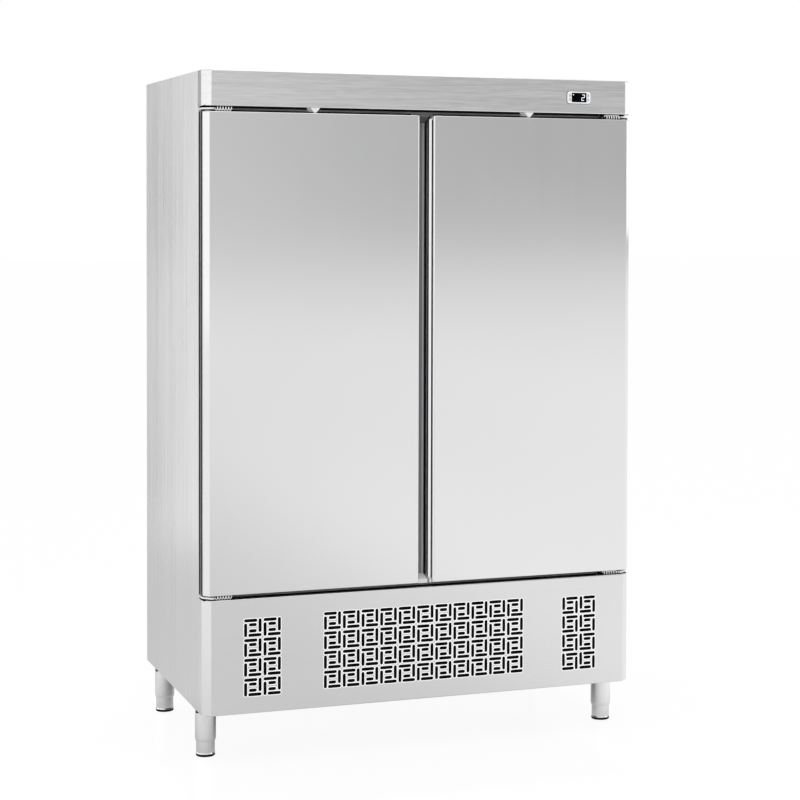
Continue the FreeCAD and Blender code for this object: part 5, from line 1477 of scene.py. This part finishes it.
class CABINET_OT_fans(bpy.types.Operator):
    """Fans with curved blades, and the wire guards under the evaporator fans"""

    bl_idname = "cabinet.fans"
    bl_label = "Fans and guards"

    def execute(self, context):
        for node in ("evaporator_fan_left", "evaporator_fan_right", "condenser_fan"):
            low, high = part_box(node)
            fan = self.rotor((high.x - low.x) / 2)
            centre = (low + high) / 2
            place, turn = (centre.x, centre.y, low.z), Matrix.Identity(4)
            if node == "condenser_fan":
                place, turn = (centre.x, low.y, centre.z), Matrix.Rotation(-pi / 2, 4, "X")
            rotor = moved_copy(fan, node + "_rotor", place, turn)
            bpy.data.objects.remove(fan)
            complete(rotor, node, "fan_plastic", [node])
        self.guards()
        return {"FINISHED"}

    def rotor(self, radius):
        """Hub and cambered blades, standing on the origin."""
        blade_count, thickness, bend = 5, 0.0016, 0.0005
        section = [(0.0031, 0.001), (0.0215, 0.001), (0.024, 0.0035), (0.024, 0.0195), (0.0215, 0.022),
                   (0.0031, 0.022)]
        hub = new_lathe("hub", section, (0, 0, 0), 40)
        round_edges(hub, bend)
        clear()
        bpy.ops.mesh.primitive_grid_add(x_subdivisions=8, y_subdivisions=6, size=1)
        blade = named("blade")
        for vertex in blade.data.vertices:
            vertex.co = self.blade_point(radius, vertex.co.x + 0.5, vertex.co.y)
        shape(blade, "SOLIDIFY", thickness=thickness, offset=0, use_even_offset=True)
        round_edges(blade, bend)
        blades = [moved_copy(blade, "blade", turn=Matrix.Rotation(2 * pi * index / blade_count, 4, "Z"))
                  for index in range(blade_count)]
        bpy.data.objects.remove(blade)
        return joined("rotor", [hub] + blades)

    def blade_point(self, radius, out, across):
        """Point of a blade at a share of its way out, from nought to one, and across, from -0.5 to 0.5."""
        root, tip_gap, root_chord, more_chord, sweep = 0.021, 0.0215, 0.020, 0.022, 0.010
        root_pitch, pitch_loss, level, camber, flatness = 34, 12, 0.0105, 0.0022, 0.9
        swell_start, swell_share = 0.25, 0.6
        reach = root + (radius - tip_gap) * out
        chord = root_chord + more_chord * sin(pi * min(1.0, swell_start + swell_share * out))
        pitch = radians(root_pitch - pitch_loss * out)
        along = across * chord + sweep * out * out
        rise = across * chord * sin(pitch) + camber * (1 - 4 * across * across)
        turn = along * cos(pitch) / reach
        return reach * cos(turn), reach * sin(turn), level + rise * flatness

    def guards(self):
        """Rings and spokes of wire inside the openings of the evaporator cover."""
        radii, spoke_end, wire_radius, rise = (0.018, 0.034, 0.050, 0.066, 0.082), 0.086, 0.0011, 0.0026
        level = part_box("evaporator_cover")[0].z + rise
        wires = []
        for name in SIDES:
            low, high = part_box("evaporator_fan_" + name)
            centre = Vector(((low.x + high.x) / 2, (low.y + high.y) / 2, level))
            for radius in radii:
                clear()
                bpy.ops.mesh.primitive_torus_add(major_radius=radius, minor_radius=wire_radius,
                                                 location=centre, major_segments=56, minor_segments=8)
                wires.append(named("ring"))
            for turn in range(4):
                out = Vector((cos(pi / 4 + pi / 2 * turn), sin(pi / 4 + pi / 2 * turn), 0))
                wires.append(new_rod("spoke", centre + out * radii[0], centre + out * spoke_end,
                                     wire_radius, 10))
        complete(joined("fan_guards", wires), "cabinet", "wire_steel")


class CABINET_OT_rear_cover(bpy.types.Operator):
    """Rear cover of the machine compartment with hooded louvres, its screws and the cord gland"""

    bl_idname = "cabinet.rear_cover"
    bl_label = "Rear cover"

    def execute(self, context):
        column, row, columns, rows, middle_z = 0.34, 0.024, 3, 9, 0.350
        cut_half, cut_height, hood_half = 0.128, 0.0075, 0.132
        hood_low, hood_high, hood_proud, hood_bend, hood_sheet = -0.0015, 0.0130, 0.0060, 0.0052, 0.0008
        under, overrun = 0.0040, OVERRUN / 2
        low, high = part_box("rear_grille")
        sheet = new_block("rear_cover", low, high)
        opening = new_block("louvre_cut", (-column - cut_half, low.y - overrun, 0),
                            (-column + cut_half, high.y + overrun, cut_height))
        hood = new_block("hood", (-column - hood_half, high.y, hood_low),
                         (-column + hood_half, high.y + hood_proud, hood_high))
        choose(hood, "EDGE", lambda edge: middle(edge).y > high.y + hood_proud - HAIR
               and middle(edge).z > hood_low + HAIR)
        bpy.ops.mesh.bevel(offset=hood_bend, segments=5, affect="EDGES", clamp_overlap=True)
        remove_faces(hood, lambda face: face.normal.z < -SQUARE or face.normal.y < -SQUARE)
        folded_sheet(hood, hood_sheet)
        first_z = middle_z - (rows - 1) / 2 * row - under
        for tool in (opening, hood):
            tool.data.transform(Matrix.Translation(Z_AXIS * first_z))
            repeat(tool, rows, (0, 0, row))
            repeat(tool, columns, (column, 0, 0))
        cut(sheet, opening)
        complete(joined("rear_cover", [sheet, hood]), "cabinet", "galvanised", ["rear_grille"])
        self.screws(high.y)
        self.gland()
        return {"FINISHED"}

    def screws(self, face):
        """Pan-head screws with a cross recess."""
        radius, recess_share, long_half, short_half = 0.0045, 0.45, 0.0022, 0.0004
        low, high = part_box("panel_screws")
        head = high.y - face
        section = [(0, -0.006), (0.002, -0.006), (0.002, 0), (radius, 0), (0.0043, head * recess_share),
                   (0.0034, head * 0.8), (0.0019, head), (0, head)]
        screw = new_lathe("screw", section, (0, face, 0), 32, Y_AXIS)
        for half_x, half_z in ((long_half, short_half), (short_half, long_half)):
            cut(screw, new_block("recess", (-half_x, face + head * recess_share, -half_z),
                                 (half_x, face + OVERRUN / 2, half_z)))
        columns = (low.x + radius, 0, high.x - radius)
        rows = (low.z + radius, high.z - radius)
        screws = [moved_copy(screw, "screw", (x, 0, z)) for x in columns for z in rows]
        bpy.data.objects.remove(screw)
        complete(joined("cover_screws", screws), "cabinet", "bracket_steel", ["panel_screws"])

    def gland(self):
        """Cord gland: two hexagon nuts, a threaded body and a domed cap with grip ribs."""
        bore, thread, cap_radius, cap_length, bend, nut_bend = 0.0045, 0.0098, 0.012, 0.012, 0.0004, 0.0006
        nut_radius, nut_height, nut_hole, nut_starts, hole_end = 0.014, 0.005, 0.0097, (0.0, 0.006), 0.03
        rib_count, rib_radius, rib_out, rib_start, rib_end = 16, 0.0006, 0.0113, 0.0112, 0.0050
        low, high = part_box("cable_gland")
        centre = (low + high) / 2
        place = Vector((centre.x, low.y, centre.z))
        length = high.y - low.y
        section = [(bore, 0), (thread, 0), (thread, length - cap_length), (cap_radius, length - cap_length),
                   (cap_radius, length - 0.0045), (0.0105, length - 0.0012), (0.0078, length), (bore, length)]
        body = new_lathe("gland_body", section, place, 48, Y_AXIS)
        round_edges(body, bend, angle=radians(40))
        pieces = [body]
        for start in nut_starts:
            nut = new_rod("nut", place + Y_AXIS * start, place + Y_AXIS * (start + nut_height), nut_radius, 6)
            round_edges(nut, nut_bend)
            cut(nut, new_rod("hole", place - Y_AXIS * OVERRUN / 2, place + Y_AXIS * hole_end, nut_hole, 48))
            pieces.append(nut)
        for turn in range(rib_count):
            out = Vector((cos(2 * pi * turn / rib_count), 0, sin(2 * pi * turn / rib_count))) * rib_out
            pieces.append(new_rod("rib", place + out + Y_AXIS * (length - rib_start),
                                  place + out + Y_AXIS * (length - rib_end), rib_radius, 8))
        complete(joined("cord_gland", pieces), "cabinet", "housing_plastic", ["cable_gland"])


class CABINET_OT_carried_over(bpy.types.Operator):
    """Finishes of the pieces that are shown as the frame has them"""

    bl_idname = "cabinet.carried_over"
    bl_label = "Finishes of the frame's pieces"

    def execute(self, context):
        for name, nodes in CARRIED_OVER.items():
            for node in nodes:
                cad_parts[node].material_slots[0].material = finish(name)
        return {"FINISHED"}


class CABINET_OT_studio(bpy.types.Operator):
    """Pale floor, soft light and the camera"""

    bl_idname = "cabinet.studio"
    bl_label = "Studio"

    def execute(self, context):
        studio = context.scene.cabinet_studio
        self.floor(studio)
        self.room(studio)
        self.lamps(studio)
        self.camera(studio)
        context.scene.view_settings.view_transform = "Standard"
        return {"FINISHED"}

    def painted_shade_patch(self, tree, centre, reach, depth):
        """Soft round patch of painted shade on the floor's glow: its depth at the centre, nought at the edge.
        """
        place = linked(tree, "TexCoord")
        shift = tuple(-part / size for part, size in zip(centre, reach))
        mapped = linked(tree, "Mapping", {"Vector": place.outputs["Object"], "Location": (*shift, 0),
                                          "Scale": (1 / reach[0], 1 / reach[1], 1)})
        level = linked(tree, "TexGradient", {"Vector": mapped.outputs["Vector"]}, gradient_type="SPHERICAL")
        return mixed(tree, "MULTIPLY", level.outputs["Fac"], depth)

    def levels(self, tree, value, stops):
        """Grey levels from the left, -1, to the right, 1."""
        ramp = linked(tree, "ValToRGB", {"Fac": value})
        elements = ramp.color_ramp.elements
        for position, level in stops[1:-1]:
            elements.new((position + 1) / 2)
        for element, (position, level) in zip(elements, stops):
            element.color = (level, level, level, 1)
        return ramp.outputs["Color"]

    def floor(self, studio):
        """Wide pale floor that shows the backdrop's white and keeps a faint shadow; in the steel's
        reflections its glow carries painted shade of the cabinet, darker across the middle, under and behind
        it.
        """
        paint, white = (0.9, 0.9, 0.9, 1), (1, 1, 1, 1)
        width, drop, cover_share, glaze_share, glaze_roughness = 120, 0.0006, 0.93, 0.03, 0.1
        clear()
        bpy.ops.mesh.primitive_plane_add(size=width, location=(0, 0, -drop))
        floor = named("studio_floor")
        material = bpy.data.materials.new("studio_floor")
        material.use_nodes = True
        tree = material.node_tree
        tree.nodes.clear()
        paths = linked(tree, "LightPath")
        seen = mixed(tree, "MAXIMUM", mixed(tree, "MAXIMUM", paths.outputs["Is Camera Ray"],
                                            paths.outputs["Is Glossy Ray"]),
                     paths.outputs["Is Transmission Ray"])
        parts = linked(tree, "SeparateXYZ", {"Vector": linked(tree, "TexCoord").outputs["Object"]})
        # Painted shade, seen only in reflections: the floor darker behind the cabinet, under it, across the
        # middle and in two soft patches in front
        behind = mixed(tree, "MULTIPLY", spread(tree, parts.outputs["Y"], 0.0, studio.behind, 0.2, 6.0),
                       spread(tree, parts.outputs["X"], 1.0, 0.0, 0.8, 2.5))
        under = self.painted_shade_patch(tree, (0.0, 0.0), (1.15, 0.75), 0.75)
        across = spread(tree, parts.outputs["X"], 0.0, 1.0, -3.0, 3.0)
        level = self.levels(tree, across, ((-1, 1.0), (-0.7, 0.96), (-0.35, 0.76), (-0.05, 0.72),
                                           (0.12, 0.79), (0.25, 0.91), (0.38, 1.03), (1, 1.03)))
        for dark in (self.painted_shade_patch(tree, (10, -55), (12, 45), 0.32), self.painted_shade_patch(tree, (2, -12), (3.5, 9), 0.12),
                     mixed(tree, "MAXIMUM", under, behind)):
            level = mixed(tree, "SUBTRACT", level, dark)
        strength = linked(tree, "Mix", {0: paths.outputs["Is Camera Ray"], 2: level, 3: studio.backdrop})
        matt = linked(tree, "BsdfDiffuse", {"Color": paint})
        glow = linked(tree, "Emission", {"Color": white, "Strength": strength.outputs[0]})
        cover = linked(tree, "MixShader", {0: mixed(tree, "MULTIPLY", seen, cover_share), 1: matt.outputs[0],
                                           2: glow.outputs[0]})
        sheen = linked(tree, "BsdfGlossy", {"Color": white, "Roughness": glaze_roughness})
        glaze = linked(tree, "MixShader", {0: glaze_share, 1: cover.outputs[0], 2: sheen.outputs[0]})
        linked(tree, "OutputMaterial", {"Surface": glaze.outputs[0]})
        floor.data.materials.append(material)

    def room(self, studio):
        """White for the camera; a soft grey room, brighter at the sides, for the steel and the light."""
        world = bpy.data.worlds.new("studio_room")
        bpy.context.scene.world = world
        world.use_nodes = True
        tree = world.node_tree
        tree.nodes.clear()
        place = linked(tree, "TexCoord")
        parts = linked(tree, "SeparateXYZ", {"Vector": place.outputs["Generated"]})
        across = spread(tree, parts.outputs["X"], 0.0, 1.0, -1.0, 1.0)
        front = self.levels(tree, across, ((-1, 0.95), (-0.4, 0.95), (-0.1, 0.85), (0.2, 0.71), (0.3, 0.52),
                                           (0.42, 0.43), (0.52, 0.48), (0.75, 0.8), (1, 0.62)))
        back = self.levels(tree, across, ((-1, 0.95), (-0.7, 0.8), (-0.42, studio.room), (0.3, studio.room),
                                          (0.6, 0.48), (1, 0.5)))
        behind = spread(tree, parts.outputs["Y"], 0.0, 1.0, -0.3, 0.3)
        around = linked(tree, "Mix", {0: behind, 6: front, 7: back}, data_type="RGBA").outputs[2]
        rise = spread(tree, parts.outputs["Z"], 0.0, 1.0, 0.16, 0.6)
        ceiling = (0.85, 0.85, 0.85, 1)
        above = linked(tree, "Mix", {0: rise, 6: around, 7: ceiling}, data_type="RGBA").outputs[2]
        room = linked(tree, "Background", {"Color": above, "Strength": 1.0})
        white = linked(tree, "Background", {"Color": (1, 1, 1, 1), "Strength": 1.0})
        seen = linked(tree, "LightPath").outputs["Is Camera Ray"]
        either = linked(tree, "MixShader", {0: seen, 1: room.outputs[0], 2: white.outputs[0]})
        linked(tree, "OutputWorld", {"Surface": either.outputs[0]})

    def lamps(self, studio):
        """Large soft boxes: name, place, what they light, size and level."""
        for name, place, target, size, level in (
                ("left_box", (-4.6, -1.7, 2.3), (-0.3, -0.4, 1.2), (2.6, 2.6), 0.2),
                ("right_box", (5.2, -2.6, 2.8), (0.3, -0.4, 1.0), (2.2, 2.2), 1.2),
                ("top_box", (0.0, -0.8, 5.0), (0, 0, 1.0), (3.0, 3.0), 1.0),
                ("rear_right_box", (2.78, 0.56, 2.0), (0.69, -0.4, 1.85), (0.9, 0.9), 0.8),
                ("rear_left_box", (-1.95, 1.3, 1.4), (-0.7, -0.3, 1.3), (1.0, 2.2), studio.rear_lamp)):
            clear()
            place = Vector(place)
            bpy.ops.object.light_add(type="AREA", location=place)
            lamp = bpy.context.active_object
            lamp.name = name
            lamp.data.shape = "RECTANGLE"
            lamp.data.size, lamp.data.size_y = size
            lamp.data.energy = level * studio.lamp * pi * size[0] * size[1]
            lamp.rotation_euler = (Vector(target) - place).to_track_quat("-Z", "Y").to_euler()

    def camera(self, studio):
        """Camera at the photograph's place and angle."""
        clear()
        bpy.ops.object.camera_add(location=studio.place)
        camera = bpy.context.active_object
        camera.name = "camera"
        turn = (Matrix.Rotation(-studio.yaw, 3, "Z") @ Matrix.Rotation(pi / 2 + studio.pitch, 3, "X")
                @ Matrix.Rotation(studio.roll, 3, "Z"))
        camera.rotation_euler = turn.to_euler()
        camera.data.lens = studio.lens
        camera.data.sensor_width = 36.0
        camera.data.shift_x, camera.data.shift_y = studio.shift
        camera.data.clip_end = 200.0
        bpy.context.scene.camera = camera


PIECES = (CABINET_OT_fascia, CABINET_OT_lower_panel, CABINET_OT_door_fronts, CABINET_OT_grips,
          CABINET_OT_grip_caps, CABINET_OT_door_pans, CABINET_OT_gaskets, CABINET_OT_thermostat,
          CABINET_OT_hinges, CABINET_OT_switch_tabs, CABINET_OT_legs, CABINET_OT_shelves,
          CABINET_OT_shelf_supports, CABINET_OT_fans, CABINET_OT_rear_cover, CABINET_OT_carried_over,
          CABINET_OT_studio)


class CABINET_PT_pieces(bpy.types.Panel):
    """Settings and pieces of the cabinet"""

    bl_idname = "CABINET_PT_pieces"
    bl_label = "Refrigerated cabinet"
    bl_space_type = "VIEW_3D"
    bl_region_type = "UI"
    bl_category = "Cabinet"

    def draw(self, context):
        scene = context.scene
        for settings in (scene.cabinet_sizes, scene.cabinet_colours, scene.cabinet_studio):
            box = self.layout.box()
            for key in settings.bl_rna.properties.keys():
                if key not in ("rna_type", "name"):
                    box.prop(settings, key)
        for piece in PIECES:
            self.layout.operator(piece.bl_idname, text=piece.bl_label)


CLASSES = (CabinetSizes, CabinetColours, CabinetStudio, *PIECES, CABINET_PT_pieces)


def register():
    """Register the classes and attach the settings to the scene."""
    for entry in CLASSES:
        bpy.utils.register_class(entry)
    bpy.types.Scene.cabinet_sizes = PointerProperty(type=CabinetSizes)
    bpy.types.Scene.cabinet_colours = PointerProperty(type=CabinetColours)
    bpy.types.Scene.cabinet_studio = PointerProperty(type=CabinetStudio)


def unregister():
    """Undo what register did."""
    del bpy.types.Scene.cabinet_sizes, bpy.types.Scene.cabinet_colours, bpy.types.Scene.cabinet_studio
    for entry in reversed(CLASSES):
        bpy.utils.unregister_class(entry)


def main():
    """Make every piece and the studio."""
    register()
    bpy.ops.cabinet.fascia()
    bpy.ops.cabinet.lower_panel()
    bpy.ops.cabinet.door_fronts()
    bpy.ops.cabinet.grips()
    bpy.ops.cabinet.grip_caps()
    bpy.ops.cabinet.door_pans()
    bpy.ops.cabinet.gaskets()
    bpy.ops.cabinet.thermostat()
    bpy.ops.cabinet.hinges()
    bpy.ops.cabinet.switch_tabs()
    bpy.ops.cabinet.legs()
    bpy.ops.cabinet.shelves()
    bpy.ops.cabinet.shelf_supports()
    bpy.ops.cabinet.fans()
    bpy.ops.cabinet.rear_cover()
    bpy.ops.cabinet.carried_over()
    bpy.ops.cabinet.studio()


if __name__ == "__main__":
    main()
